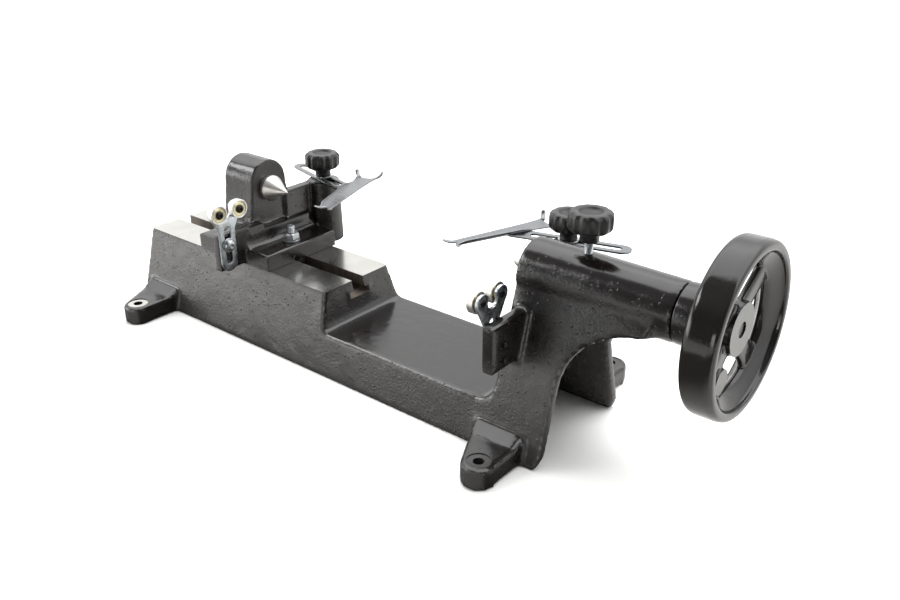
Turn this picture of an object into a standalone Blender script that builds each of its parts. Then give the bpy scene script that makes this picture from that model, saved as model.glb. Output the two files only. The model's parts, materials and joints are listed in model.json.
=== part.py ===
"""A small cast-iron bench lathe stand: bed, sliding headstock, tailstock with handwheel,
roller rests at the front and two fishtail rest arms at the back. Metres, +Z up, +X to the handwheel."""
import math

import bmesh
import bpy
from mathutils import Matrix, Vector

# Overall frame: the origin is under the middle of the lathe, on the bench.
LENGTH = 0.783
GAP = 0.0003
CENTRE_HEIGHT = 0.1697

# Bed casting
WALL = 0.010
DRAFT = 0.286
BASE_HALF_WIDTH = 0.077
WAYS_HEIGHT = 0.0903
WAYS_LENGTH = 0.322
WAYS_PLATE = 0.012
SLOT_HALF_WIDTH = 0.009
SLOT_FLOOR = 0.062
DECK_HEIGHT = 0.047
TAILSTOCK_LEFT = 0.5625
ARCH_CENTRE_X = 0.733
ARCH_CENTRE_Z = 0.071
ARCH_WIDTH = 0.107
ARCH_RISE = 0.080
ARCH_POWER = 2.4
FOOT_X = (0.054, 0.590)
FOOT_Y = 0.120
FOOT_RADIUS = 0.0174
FOOT_HEIGHT = 0.023
FOOT_HOLE = 0.0055
FOOT_SPREAD = 0.041
TANGENT_LEFT = 0.0156
TANGENT_Y = 0.1278
FLARE_REACH = 0.012
FLARE_TOP = 0.0305

# Tailstock barrel and quill
BARREL_RADIUS_LEFT = 0.0315
BARREL_RADIUS_RIGHT = 0.0285
BARREL_RIGHT = 0.721
QUILL_RADIUS = 0.0160
QUILL_LEFT = 0.5648
QUILL_LENGTH = 0.130
QUILL_BORE_END = 0.708
SCREW_RADIUS = 0.0070
CENTRE_BASE_RADIUS = 0.0155
CENTRE_CONE = 0.0268
LOCK_X = 0.6215
KEY_X = 0.6308
KEY_RADIUS = 0.0022
COLLAR_RIGHT = 0.7445

# Handwheel
WHEEL_X = 0.766
WHEEL_RADIUS = 0.080
RIM_THICKNESS = 0.0244
RIM_HALF_WIDTH = 0.017
HUB_RADIUS = 0.024
HUB_FRONT = 0.7745
HUB_BACK = 0.7455
SPOKES = 4
SPOKE_TURN = math.radians(41)

# Headstock, as it stands on the ways
BASE_LEFT = 0.105
BASE_RIGHT = 0.230
BASE_FRONT = -0.053
BASE_BACK = 0.057
BASE_TOP = 0.110
HEAD_LEFT = 0.131
HEAD_RIGHT = 0.181
HEAD_TOP_RADIUS = 0.0262
CLAMP_X = 0.2135

# Ears for the roller plates, and posts for the arms
LEFT_EAR_RIGHT = 0.193
LEFT_EAR_THICK = 0.010
RIGHT_EAR_LEFT = 0.569
RIGHT_EAR_THICK = 0.014
EAR_FRONT = -0.0905
POST_Y = 0.080
POST_RADIUS = 0.0195
LEFT_POST_X = 0.190
LEFT_POST_TOP = 0.1625
RIGHT_POST_X = 0.551
RIGHT_POST_TOP = 0.1670

# Roller plates and rollers
PLATE_THICK = 0.003
PLATE_WIDTH = 0.022
PLATE_DROP = 0.074
PLATE_SLOT = (-0.060, -0.0235)
ROLLER_Z = 0.166
ROLLER_SPREAD = 0.0285
ROLLER_RADIUS = 0.011
ROLLER_WIDTH = 0.007
LEFT_PLATE_Y = -0.0793
RIGHT_PLATE_Y = -0.0740
RIGHT_ROLLER_Z = 0.1645
RIGHT_SCREW_Z = (0.1055, 0.1225)
LEFT_BOLT_Z = 0.1245

# Rest arms and knobs
ARM_THICK = 0.0025
ARM_WIDTH = 0.021
ARM_SLOT = 0.0088
ARM_ANGLE = math.radians(15)
KNOB_RADIUS = 0.020
KNOB_HEAD = 0.021
KNOB_NECK = 0.009
STUD_RADIUS = 0.004

scene_objects = list(bpy.data.objects)
for old in scene_objects:
    bpy.data.objects.remove(old, do_unlink=True)

parts = bpy.data.collections.new("bench_lathe")
guides = bpy.data.collections.new("bench_lathe_cutters")
bpy.context.scene.collection.children.link(parts)
bpy.context.scene.collection.children.link(guides)


def along(x):
    """Turn a distance from the left end of the bed into the frame's X."""
    return x - LENGTH / 2


def finish(name, colour, roughness, metallic):
    """A Principled material for one kind of surface, made once and shared."""
    if name in bpy.data.materials:
        return bpy.data.materials[name]
    material = bpy.data.materials.new(name)
    material.use_nodes = True
    shader = material.node_tree.nodes["Principled BSDF"]
    shader.inputs["Base Color"].default_value = (*colour, 1)
    shader.inputs["Roughness"].default_value = roughness
    shader.inputs["Metallic"].default_value = metallic
    material.diffuse_color = (*colour, 1)
    return material


def black_enamel():
    return finish("black_enamel", (0.012, 0.011, 0.011), 0.25, 0.0)


def bright_steel():
    return finish("bright_steel", (0.58, 0.57, 0.55), 0.30, 1.0)


def zinc_plate():
    return finish("zinc_plate", (0.62, 0.64, 0.64), 0.32, 1.0)


def black_plastic():
    return finish("black_plastic", (0.02, 0.02, 0.022), 0.45, 0.0)


def black_oxide():
    return finish("black_oxide", (0.03, 0.03, 0.03), 0.40, 0.8)


def brass():
    return finish("brass", (0.70, 0.52, 0.22), 0.35, 1.0)


def own(bm, name, material=None):
    """Make a bmesh into an object: a part when it has a material, else a hidden guide."""
    bmesh.ops.recalc_face_normals(bm, faces=bm.faces)
    mesh = bpy.data.meshes.new(name)
    bm.to_mesh(mesh)
    bm.free()
    piece = bpy.data.objects.new(name, mesh)
    if material:
        mesh.materials.append(material)
        mesh.shade_smooth()
        mesh.set_sharp_from_angle(angle=math.radians(35))
        parts.objects.link(piece)
    else:
        hide(piece)
    return piece


def hide(piece):
    """Keep a cutter or guide out of the picture and out of the build."""
    piece.hide_render = True
    piece.display_type = "WIRE"
    guides.objects.link(piece)


def box(low, high, name="cutter", material=None):
    """A box between two corners."""
    bm = bmesh.new()
    low, high = Vector(low), Vector(high)
    size = Matrix.Diagonal((*(high - low), 1))
    bmesh.ops.create_cube(bm, size=1, matrix=Matrix.Translation((low + high) / 2) @ size)
    return own(bm, name, material)


def rod(start, end, radius, name="cutter", material=None, end_radius=None, sides=24):
    """A cylinder or cone frustum from one point to another."""
    bm = bmesh.new()
    start, end = Vector(start), Vector(end)
    line = end - start
    turn = line.to_track_quat("Z", "Y").to_matrix().to_4x4()
    place = Matrix.Translation((start + end) / 2) @ turn
    tip = radius if end_radius is None else end_radius
    bmesh.ops.create_cone(bm, cap_ends=True, segments=sides, radius1=radius, radius2=tip,
                          depth=line.length, matrix=place)
    return own(bm, name, material)


def prism(outline, thickness, place, name="cutter", material=None):
    """A flat outline in local XY, thickened along local Z from 0, then put in place."""
    bm = bmesh.new()
    corners = [bm.verts.new((x, y, 0)) for x, y in outline]
    face = bm.faces.new(corners)
    lifted = bmesh.ops.extrude_face_region(bm, geom=[face])["geom"]
    moved = [item for item in lifted if isinstance(item, bmesh.types.BMVert)]
    bmesh.ops.translate(bm, vec=(0, 0, thickness), verts=moved)
    bmesh.ops.transform(bm, matrix=place, verts=bm.verts)
    return own(bm, name, material)


def turned(profile, place, name, material, steps=32):
    """A turned piece: (radius, height) points from the top down, spun about local Z."""
    mesh = bpy.data.meshes.new(name)
    points = [(radius, 0, height) for radius, height in profile]
    mesh.from_pydata(points, [(i, i + 1) for i in range(len(points) - 1)], [])
    mesh.materials.append(material)
    piece = bpy.data.objects.new(name, mesh)
    piece.matrix_world = place
    spin = piece.modifiers.new("spin", "SCREW")
    spin.steps = steps
    spin.render_steps = steps
    spin.use_merge_vertices = True
    spin.merge_threshold = 0.00001
    spin.use_smooth_shade = True
    parts.objects.link(piece)
    return piece


def combine(target, operation, *others):
    """Cut, join or intersect with other pieces through live Boolean modifiers."""
    for other in others:
        step = target.modifiers.new(operation.lower(), "BOOLEAN")
        step.operation = operation
        step.object = other
        step.solver = "EXACT"
    return target


def arc(cx, cy, radius, start, end, count):
    """Points on a circle, angles in degrees."""
    angles = [math.radians(start + (end - start) * i / count) for i in range(count + 1)]
    return [(cx + radius * math.cos(a), cy + radius * math.sin(a)) for a in angles]


def side_view():
    """Frame that stands an XY outline up in the XZ plane, thickened towards -Y."""
    return Matrix.Rotation(math.radians(90), 4, "X")


def facing_x(x):
    """Frame whose local XY is the world YZ plane at x, thickened towards +X."""
    axes = Matrix(((0, 0, 1, x), (1, 0, 0, 0), (0, 1, 0, 0), (0, 0, 0, 1)))
    return axes


def half_width(z, inset=0.0):
    """Half the width of the drafted casting at a height."""
    return BASE_HALF_WIDTH - DRAFT * z - inset


def tapered_section(low, high, inset):
    """The drafted cross-section of the bed and tailstock, as YZ points."""
    return [(-half_width(low, inset), low), (half_width(low, inset), low),
            (half_width(high, inset), high), (-half_width(high, inset), high)]


# ------------------------------------------------------------------ bed casting
def arch_outline(count=10):
    """The arch under the barrel: a superellipse from the barrel down to the leg."""
    points = []
    for i in range(count + 1):
        t = math.radians(90) * i / count
        x = math.sin(t) ** (2 / ARCH_POWER)
        z = math.cos(t) ** (2 / ARCH_POWER)
        points.append((along(ARCH_CENTRE_X - ARCH_WIDTH * x), ARCH_CENTRE_Z + ARCH_RISE * z))
    return points


def bed_outline():
    """Side view of the casting: ways, step, deck, tailstock face, barrel line and arch."""
    step = 0.006
    heel = 0.016
    outline = [(along(0), 0), (along(0), WAYS_HEIGHT), (along(WAYS_LENGTH), WAYS_HEIGHT)]
    outline += arc(along(WAYS_LENGTH + 0.005 + step), DECK_HEIGHT + step, step, 180, 270, 4)
    outline += arc(along(TAILSTOCK_LEFT - 0.002 - heel), DECK_HEIGHT + heel, heel, 270, 360, 6)
    outline += [(along(TAILSTOCK_LEFT), CENTRE_HEIGHT), (along(ARCH_CENTRE_X), CENTRE_HEIGHT)]
    outline += arch_outline()
    outline += [(along(ARCH_CENTRE_X - ARCH_WIDTH), 0.012)]
    outline += [(along(ARCH_CENTRE_X - ARCH_WIDTH - 0.005), 0)]
    return outline


def hollow():
    """The open underside: one cutter for the ways and deck, one for the tailstock."""
    deep = -0.02
    low_roof = DECK_HEIGHT - WALL
    high_roof = WAYS_HEIGHT - WAYS_PLATE
    arch_roof = 0.128
    outline = [(along(WALL), deep), (along(WALL), high_roof)]
    outline += [(along(WAYS_LENGTH - WALL), high_roof), (along(WAYS_LENGTH - 0.004), low_roof)]
    outline += [(along(TAILSTOCK_LEFT + WALL), low_roof), (along(TAILSTOCK_LEFT + WALL), arch_roof)]
    outline += [(along(LENGTH), arch_roof), (along(LENGTH), deep)]
    place = side_view() @ Matrix.Translation((0, 0, -0.1))
    core = prism(outline, 0.2, place, "bed_core")
    inner = tapered_section(-0.03, 0.14, WALL)
    sides = prism(inner, LENGTH + 0.1, facing_x(along(-0.02)), "bed_core_sides")
    return combine(core, "INTERSECT", sides)


def foot_plan(x, side, inset):
    """Foot seen from above: a tangent runs from the boss back to the wall, out to the left."""
    right = along(x + FOOT_RADIUS * 0.98) - inset
    left = along(x - FOOT_SPREAD) + inset
    tangent = (along(x - TANGENT_LEFT) + inset, side * (TANGENT_Y - inset))
    sunk = side * (BASE_HALF_WIDTH - 0.012)
    points = [(right, side * FOOT_Y), (right, sunk), (left, sunk), (left, side * BASE_HALF_WIDTH)]
    return points + [tangent, (along(x), side * FOOT_Y)]


def foot(x, side):
    """One mounting foot: a round boss and the web that joins it to the side wall."""
    y = side * FOOT_Y
    name = f"foot_{'front' if side < 0 else 'back'}_{round(x * 1000)}"
    boss = rod((along(x), y, 0), (along(x), y, FOOT_HEIGHT), FOOT_RADIUS, name)
    web = prism(foot_plan(x, side, 0), FOOT_HEIGHT - 0.0002, Matrix.Translation((0, 0, 0.0001)),
                name + "_web")
    flare = [(side * (BASE_HALF_WIDTH - 0.010), 0.002), (side * (BASE_HALF_WIDTH + FLARE_REACH), 0.002)]
    flare += [(side * (BASE_HALF_WIDTH + FLARE_REACH), FOOT_HEIGHT - 0.001), (side * 0.065, FLARE_TOP)]
    wedge = prism(flare, 0.08, facing_x(along(x - 0.050)), name + "_flare")
    trim = prism(foot_plan(x, side, 0.0003), 0.06, Matrix.Translation((0, 0, -0.01)), name + "_trim")
    combine(wedge, "INTERSECT", trim)
    return [boss, web, wedge]


def bed_casting():
    place = side_view() @ Matrix.Translation((0, 0, -0.1))
    bed = prism(bed_outline(), 0.2, place, "bed_casting", black_enamel())
    section = tapered_section(-0.01, 0.18, 0)
    combine(bed, "INTERSECT", prism(section, LENGTH + 0.1, facing_x(along(-0.02)), "bed_section"))
    plan = [(along(-0.02), -0.1), (along(0.640), -0.1), (along(0.712), -0.022)]
    plan += [(along(0.712), 0.022), (along(0.640), 0.1), (along(-0.02), 0.1)]
    combine(bed, "INTERSECT", prism(plan, 0.2, Matrix.Translation((0, 0, -0.01)), "bed_plan"))
    combine(bed, "DIFFERENCE", hollow())
    for x in FOOT_X:
        for side in (-1, 1):
            combine(bed, "UNION", *foot(x, side))
    barrel_start = (along(TAILSTOCK_LEFT - 0.0002), 0, CENTRE_HEIGHT)
    barrel_end = (along(BARREL_RIGHT), 0, CENTRE_HEIGHT)
    barrel = rod(barrel_start, barrel_end, BARREL_RADIUS_LEFT, "barrel",
                 end_radius=BARREL_RADIUS_RIGHT, sides=40)
    combine(bed, "UNION", barrel)
    combine(bed, "UNION", *tailstock_ear(), *tailstock_post())
    combine(bed, "DIFFERENCE", *bed_holes())
    return bed


def tailstock_ear():
    """The upright ear at the front that carries the right roller plate."""
    low = (along(RIGHT_EAR_LEFT), EAR_FRONT - 0.001, 0.096)
    high = (along(RIGHT_EAR_LEFT + RIGHT_EAR_THICK), -0.034, 0.1445)
    return [box(low, high, "tailstock_ear")]


def tailstock_post():
    """The post behind the barrel that carries the right rest arm, and its web."""
    foot_of_post = (along(RIGHT_POST_X), POST_Y, 0.100)
    post = rod(foot_of_post, (along(RIGHT_POST_X), POST_Y, RIGHT_POST_TOP), POST_RADIUS + 0.002,
               "tailstock_post", end_radius=POST_RADIUS, sides=28)
    web = box((along(0.5634), 0.030, 0.106), (along(0.5775), 0.076, 0.1575), "tailstock_web")
    bridge = box((along(RIGHT_POST_X - 0.005), 0.066, 0.104), (along(0.5770), 0.090, 0.1570),
                 "tailstock_bridge")
    return [post, web, bridge]


def bed_holes():
    """T-slot, quill bore, screw hole, foot holes, stud holes and ear screw holes."""
    cuts = []
    slot_end = along(WAYS_LENGTH + 0.02)
    cuts.append(box((along(-0.01), -SLOT_HALF_WIDTH, SLOT_FLOOR),
                    (slot_end, SLOT_HALF_WIDTH, 0.12), "t_slot"))
    cuts.append(box((along(-0.01), -0.0155, SLOT_FLOOR - 0.001),
                    (slot_end, 0.0155, WAYS_HEIGHT - WAYS_PLATE), "t_slot_wide"))
    z = CENTRE_HEIGHT
    cuts.append(rod((along(0.55), 0, z), (along(QUILL_BORE_END), 0, z),
                    QUILL_RADIUS + GAP, "quill_bore", sides=32))
    cuts.append(rod((along(0.70), 0, z), (along(0.75), 0, z), SCREW_RADIUS + 0.0006, "screw_bore"))
    for x in FOOT_X:
        for y in (-FOOT_Y, FOOT_Y):
            cuts.append(rod((along(x), y, -0.01), (along(x), y, 0.04), FOOT_HOLE, "foot_hole"))
            cuts.append(rod((along(x), y, FOOT_HEIGHT - 0.0008), (along(x), y, 0.04), 0.0125,
                            "spot_face"))
    cuts.append(rod((along(LOCK_X), 0, z + 0.012), (along(LOCK_X), 0, z + 0.05),
                    STUD_RADIUS + GAP, "lock_hole"))
    cuts.append(rod((along(KEY_X), 0, 0.120), (along(KEY_X), 0, z), KEY_RADIUS + GAP, "key_hole",
                    sides=20))
    cuts.append(rod((along(RIGHT_POST_X), POST_Y, RIGHT_POST_TOP - 0.024),
                    (along(RIGHT_POST_X), POST_Y, 0.2), STUD_RADIUS + GAP, "post_hole"))
    for height in RIGHT_SCREW_Z:
        cuts.append(rod((along(RIGHT_EAR_LEFT - 0.01), RIGHT_PLATE_Y, height),
                        (along(RIGHT_EAR_LEFT + 0.03), RIGHT_PLATE_Y, height),
                        0.003 + GAP, "ear_hole", sides=20))
    return cuts


# ------------------------------------------------------------------ headstock
def headstock_section():
    """Front view of the upright head: sloping sides under a round top, as YZ points."""
    top = 0.1773
    outline = [(-0.0345, 0.100), (0.0345, 0.100), (0.0320, 0.128)]
    outline += arc(0, top, HEAD_TOP_RADIUS, -4, 184, 18)
    outline += [(-0.0320, 0.128)]
    return outline


def headstock_casting():
    bottom = WAYS_HEIGHT + GAP
    thick = HEAD_RIGHT - HEAD_LEFT
    head = prism(headstock_section(), thick, facing_x(along(HEAD_LEFT)),
                 "headstock_casting", black_enamel())
    base = box((along(BASE_LEFT), BASE_FRONT, bottom), (along(0.199), BASE_BACK, 0.1085),
               "headstock_base")
    flange = box((along(0.190), BASE_FRONT + 0.0005, bottom + 0.0001),
                 (along(BASE_RIGHT), BASE_BACK - 0.0005, BASE_TOP), "headstock_flange")
    shoulder = [(along(0.139), 0.100), (along(0.1975), 0.100), (along(0.1975), 0.1115)]
    shoulder += [(along(0.1835), 0.1280), (along(0.139), 0.1280)]
    place = side_view() @ Matrix.Translation((0, 0, -(BASE_BACK - 0.001)))
    block = prism(shoulder, BASE_BACK - BASE_FRONT - 0.002, place, "headstock_shoulder")
    ear = box((along(LEFT_EAR_RIGHT - LEFT_EAR_THICK), EAR_FRONT, 0.0925),
              (along(LEFT_EAR_RIGHT), -0.045, 0.1370), "headstock_ear")
    ear_root = box((along(0.172), -0.060, 0.1000), (along(LEFT_EAR_RIGHT - 0.0004), -0.022, 0.1340),
                   "headstock_ear_root")
    combine(head, "UNION", base, flange, block, ear, ear_root, *headstock_post(), guide_tongue())
    combine(head, "DIFFERENCE", *headstock_holes())
    return head


def headstock_post():
    """The round post behind the ways that carries the left rest arm, and its web."""
    post = rod((along(LEFT_POST_X), POST_Y, 0.084), (along(LEFT_POST_X), POST_Y, LEFT_POST_TOP),
               POST_RADIUS + 0.002, "headstock_post", end_radius=POST_RADIUS, sides=28)
    web = box((along(0.1735), 0.020, 0.1050), (along(0.1860), 0.072, 0.1600), "headstock_web")
    return [post, web]


def guide_tongue():
    """The tongue under the base that runs in the slot of the ways."""
    side = SLOT_HALF_WIDTH - GAP
    return box((along(BASE_LEFT + 0.004), -side, WAYS_HEIGHT - 0.007),
               (along(BASE_RIGHT - 0.004), side, WAYS_HEIGHT + 0.004), "guide_tongue")


def headstock_holes():
    z = CENTRE_HEIGHT
    plate_z = LEFT_BOLT_Z
    centre = rod((along(HEAD_LEFT - 0.01), 0, z), (along(HEAD_RIGHT + 0.01), 0, z),
                 0.0100 + GAP, "centre_bore")
    clamp = rod((along(CLAMP_X), 0, 0.07), (along(CLAMP_X), 0, 0.13), 0.0055, "clamp_hole")
    stud = rod((along(LEFT_POST_X), POST_Y, LEFT_POST_TOP - 0.024),
               (along(LEFT_POST_X), POST_Y, 0.2), STUD_RADIUS + GAP, "post_hole")
    bolt = rod((along(LEFT_EAR_RIGHT - 0.03), LEFT_PLATE_Y, plate_z),
               (along(LEFT_EAR_RIGHT + 0.01), LEFT_PLATE_Y, plate_z), STUD_RADIUS + GAP,
               "plate_bolt_hole")
    return [centre, clamp, stud, bolt]


def pointing(x, y, z, direction):
    """Frame at a point whose local Z runs along +X, -X or +Z."""
    turn = Vector(direction).to_track_quat("Z", "Y").to_matrix().to_4x4()
    return Matrix.Translation((along(x), y, z)) @ turn


def headstock_centre():
    """The fixed 60-degree dead centre, pressed through the head from the right."""
    back = 0.040
    collar = HEAD_RIGHT + GAP
    shoulder = 0.2135 - CENTRE_CONE
    tip = 0.2135
    profile = [(0, 0), (CENTRE_BASE_RADIUS, -(tip - shoulder)), (CENTRE_BASE_RADIUS, -(tip - collar))]
    profile += [(0.0100, -(tip - collar)), (0.0100, -(tip - HEAD_RIGHT) - back)]
    profile += [(0, -(tip - HEAD_RIGHT) - back)]
    return turned(profile, pointing(tip, 0, CENTRE_HEIGHT, (1, 0, 0)),
                  "headstock_centre", bright_steel(), 32)


def hexagon(radius):
    """Corners of a hexagon with the given corner radius."""
    return [(radius * math.cos(math.radians(60 * i)), radius * math.sin(math.radians(60 * i)))
            for i in range(6)]


def clamp_set():
    """Bolt, plate, washer and nut that hold the headstock down through the T-slot."""
    plate_top = WAYS_HEIGHT - WAYS_PLATE - GAP
    plate_low = plate_top - 0.006
    head_top = plate_low - GAP
    x = along(CLAMP_X)
    plate = box((x - 0.018, -0.0148, plate_low), (x + 0.018, 0.0148, plate_top),
                "clamp_plate", black_oxide())
    combine(plate, "DIFFERENCE", rod((x, 0, 0.05), (x, 0, 0.09), 0.0053, "clamp_plate_hole"))
    bolt = rod((x, 0, head_top - 0.0002), (x, 0, 0.1290), 0.0050, "clamp_bolt", zinc_plate())
    head = prism(hexagon(0.0094), 0.0064, Matrix.Translation((x, 0, head_top - 0.0064)), "bolt_head")
    combine(bolt, "UNION", head)
    ring = Matrix.Translation((x, 0, BASE_TOP + GAP))
    washer = prism(arc(0, 0, 0.0105, 0, 348.75, 31), 0.002, ring, "clamp_washer", zinc_plate())
    combine(washer, "DIFFERENCE", rod((x, 0, 0.1), (x, 0, 0.12), 0.0053, "washer_hole"))
    seat = Matrix.Translation((x, 0, BASE_TOP + GAP + 0.002 + GAP))
    turn = Matrix.Rotation(math.radians(12), 4, "Z")
    nut = prism(hexagon(0.0098), 0.0080, seat @ turn, "clamp_nut", zinc_plate())
    combine(nut, "DIFFERENCE", rod((x, 0, 0.1), (x, 0, 0.13), 0.0053, "nut_hole"))


# ------------------------------------------------------------------ roller rests
def plate_outline():
    """Y-shaped roller plate as (across, up) points: round foot, shank and two lobes."""
    half = PLATE_WIDTH / 2
    reach = ROLLER_SPREAD / 2
    lobe = 0.0090
    outline = arc(0, half - PLATE_DROP, half, 180, 360, 10)
    outline += [(half, -0.024), (reach + 0.0050, -0.0085)]
    outline += arc(reach, 0, lobe, -50, 150, 10)
    outline += arc(0, -0.0020, reach - lobe + 0.0022, 0, -180, 6)
    outline += arc(-reach, 0, lobe, 30, 230, 10)
    outline += [(-reach - 0.0050, -0.0085), (-half, -0.024)]
    return outline


def roller_plate(side, x, y, centre_z):
    """The plate, with its long adjusting slot and two axle holes."""
    place = facing_x(along(x)) @ Matrix.Translation((y, centre_z, 0))
    plate = prism(plate_outline(), PLATE_THICK, place, f"{side}_roller_plate", zinc_plate())
    slot_low, slot_high = PLATE_SLOT
    slot = arc(0, slot_low, 0.0044, 180, 360, 8) + arc(0, slot_high, 0.0044, 0, 180, 8)
    lift = Matrix.Translation((0, 0, -0.01))
    combine(plate, "DIFFERENCE", prism(slot, 0.03, place @ lift, f"{side}_plate_slot"))
    for end in (-1, 1):
        hole = pointing(x - 0.01, y + end * ROLLER_SPREAD / 2, centre_z, (1, 0, 0))
        start = hole.translation
        combine(plate, "DIFFERENCE", rod(start, start + Vector((0.03, 0, 0)), 0.0033,
                                         f"{side}_axle_hole", sides=20))


def roller(side, end_name, face, direction, y, z):
    """One ball-bearing roller on its axle screw; face is the plate's own face."""
    out = Vector(direction)
    name = f"{side}_{end_name}"
    spacer = 0.0015
    start = Vector((along(face), y, z)) + out * spacer
    ring = rod(start, start + out * ROLLER_WIDTH, ROLLER_RADIUS, name + "_roller",
               bright_steel(), sides=32)
    combine(ring, "DIFFERENCE", rod(start - out * 0.01, start + out * 0.02, 0.0085,
                                    name + "_ring_hole"))
    hub_start = Vector((along(face), y, z)) + out * GAP
    hub = rod(hub_start, start + out * (ROLLER_WIDTH - 0.0004), 0.0082, name + "_roller_hub",
              zinc_plate())
    combine(hub, "DIFFERENCE", rod(start - out * 0.01, start + out * 0.02, 0.0033,
                                   name + "_hub_hole", sides=20))
    head_start = start + out * (ROLLER_WIDTH - 0.0004 + GAP)
    tail = Vector((along(face), y, z)) - out * (PLATE_THICK + 0.0012)
    screw = rod(tail, head_start + out * 0.0002, 0.0030, name + "_axle_screw", black_oxide(), sides=20)
    cap = rod(head_start, head_start + out * 0.0026, 0.0056, name + "_cap", end_radius=0.0046)
    socket = prism(hexagon(0.0021), 0.004, pointing_out(head_start + out * 0.0010, out), name + "_key")
    combine(screw, "UNION", cap)
    combine(screw, "DIFFERENCE", socket)


def pointing_out(point, direction):
    """Frame at a world point whose local Z runs along a direction."""
    turn = Vector(direction).to_track_quat("Z", "Y").to_matrix().to_4x4()
    return Matrix.Translation(point) @ turn


def left_rest():
    """Left roller rest, on the right face of the headstock's ear."""
    x = LEFT_EAR_RIGHT + GAP
    roller_plate("left", x, LEFT_PLATE_Y, ROLLER_Z)
    face = x + PLATE_THICK
    for end_name, end in (("front", -1), ("back", 1)):
        roller("left", end_name, face, (1, 0, 0), LEFT_PLATE_Y + end * ROLLER_SPREAD / 2, ROLLER_Z)
    z = LEFT_BOLT_Z
    y = LEFT_PLATE_Y
    washer_start = along(face + GAP)
    washer = rod((washer_start, y, z), (washer_start + 0.0016, y, z), 0.0083,
                 "left_plate_washer", zinc_plate())
    combine(washer, "DIFFERENCE", rod((along(0.18), y, z), (along(0.22), y, z),
                                      0.0043, "left_washer_hole"))
    head_start = washer_start + 0.0016 + GAP
    bolt = rod((along(LEFT_EAR_RIGHT - LEFT_EAR_THICK - 0.002), y, z), (head_start + 0.0002, y, z),
               STUD_RADIUS, "left_plate_bolt", zinc_plate())
    combine(bolt, "UNION", rod((head_start, y, z), (head_start + 0.0050, y, z), 0.0066,
                               "left_bolt_head", sides=28))


def right_rest():
    """Right roller rest, on the left face of the tailstock's ear, held by two screws."""
    x = RIGHT_EAR_LEFT - GAP - PLATE_THICK
    centre_z = RIGHT_ROLLER_Z
    roller_plate("right", x, RIGHT_PLATE_Y, centre_z)
    for end_name, end in (("front", -1), ("back", 1)):
        roller("right", end_name, x, (-1, 0, 0), RIGHT_PLATE_Y + end * ROLLER_SPREAD / 2, centre_z)
    for place, z in zip(("lower", "upper"), RIGHT_SCREW_Z):
        tail = (along(RIGHT_EAR_LEFT + RIGHT_EAR_THICK + 0.001), RIGHT_PLATE_Y, z)
        head = along(x - GAP)
        screw = rod(tail, (head - 0.0002, RIGHT_PLATE_Y, z), 0.0030, f"right_{place}_screw",
                    black_oxide(), sides=20)
        combine(screw, "UNION", rod((head, RIGHT_PLATE_Y, z), (head - 0.0042, RIGHT_PLATE_Y, z),
                                    0.0064, f"right_{place}_head"))


# ------------------------------------------------------------------ rest arms and knobs
def knob(name, x, y, base):
    """A lobed clamping knob: neck, dished head and twelve flutes, standing on base."""
    top = KNOB_NECK + KNOB_HEAD
    profile = [(0, top - 0.0028), (0.0100, top - 0.0026), (0.0120, top - 0.0002), (0.0135, top)]
    profile += [(0.0180, top), (KNOB_RADIUS, top - 0.0020), (KNOB_RADIUS, KNOB_NECK + 0.0015)]
    profile += [(0.0180, KNOB_NECK), (0.0095, KNOB_NECK), (0.0090, 0), (0, 0)]
    piece = turned(profile, Matrix.Translation((along(x), y, base)), name, black_plastic(), 36)
    for i in range(12):
        angle = math.radians(15 + 30 * i)
        px = along(x) + 0.0222 * math.cos(angle)
        py = y + 0.0222 * math.sin(angle)
        flute = rod((px, py, base + KNOB_NECK - 0.005), (px, py, base + top + 0.005), 0.0034,
                    name + "_flute", sides=8)
        combine(piece, "DIFFERENCE", flute)
    stud_hole = rod((along(x), y, base - 0.01), (along(x), y, base + 0.014), STUD_RADIUS + GAP,
                    name + "_socket")
    combine(piece, "DIFFERENCE", stud_hole)
    return piece


def arm_outline():
    """The head of an arm, a long fishtail with a small horn at each of its four corners."""
    near = Vector((0.1048, -0.0548))
    far = Vector((0.0343, 0.0436))
    run = (far - near).normalized()
    across = Vector((run.y, -run.x))
    corners = []
    for point, half in ((near, 0.0070), (far, 0.0145)):
        corners.append((point + across * half, point - across * half))
    (near_right, near_left), (far_right, far_left) = corners
    dip_far = far - run * 0.0035
    dip_near = near + run * 0.0025
    return [tuple(p) for p in (near_right, far_right, dip_far, far_left, near_left, dip_near)]


def arm(side, x, base, mirror):
    """A rest arm: slotted strip clamped on the post, with the fishtail head on its end."""
    angle = -ARM_ANGLE
    place = Matrix.Translation((along(x), POST_Y, base)) @ Matrix.Diagonal((mirror, 1, 1, 1))
    place = place @ Matrix.Rotation(angle, 4, "Z")
    half = ARM_WIDTH / 2
    strip = arc(-0.0560, 0, half, 90, 270, 8) + [(0.0700, -half), (0.0500, half)]
    piece = prism(strip, ARM_THICK, place, f"{side}_arm", zinc_plate())
    raised = place @ Matrix.Translation((0, 0, 0.0001))
    combine(piece, "UNION", prism(arm_outline(), ARM_THICK, raised, f"{side}_arm_head"))
    lip = lip_outline()
    combine(piece, "UNION", prism(lip, 0.0060, raised, f"{side}_arm_lip"))
    slot = arc(-0.0520, 0, ARM_SLOT / 2, 90, 270, 8) + arc(0.0370, 0, ARM_SLOT / 2, -90, 90, 8)
    down = place @ Matrix.Translation((0, 0, -0.01))
    combine(piece, "DIFFERENCE", prism(slot, 0.03, down, f"{side}_arm_slot"))
    for start, finish_point in horn_lines():
        start = place @ Vector(start)
        finish_point = place @ Vector(finish_point)
        combine(piece, "UNION", rod(start, finish_point, 0.0013, f"{side}_horn", sides=8))
    return piece


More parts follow.
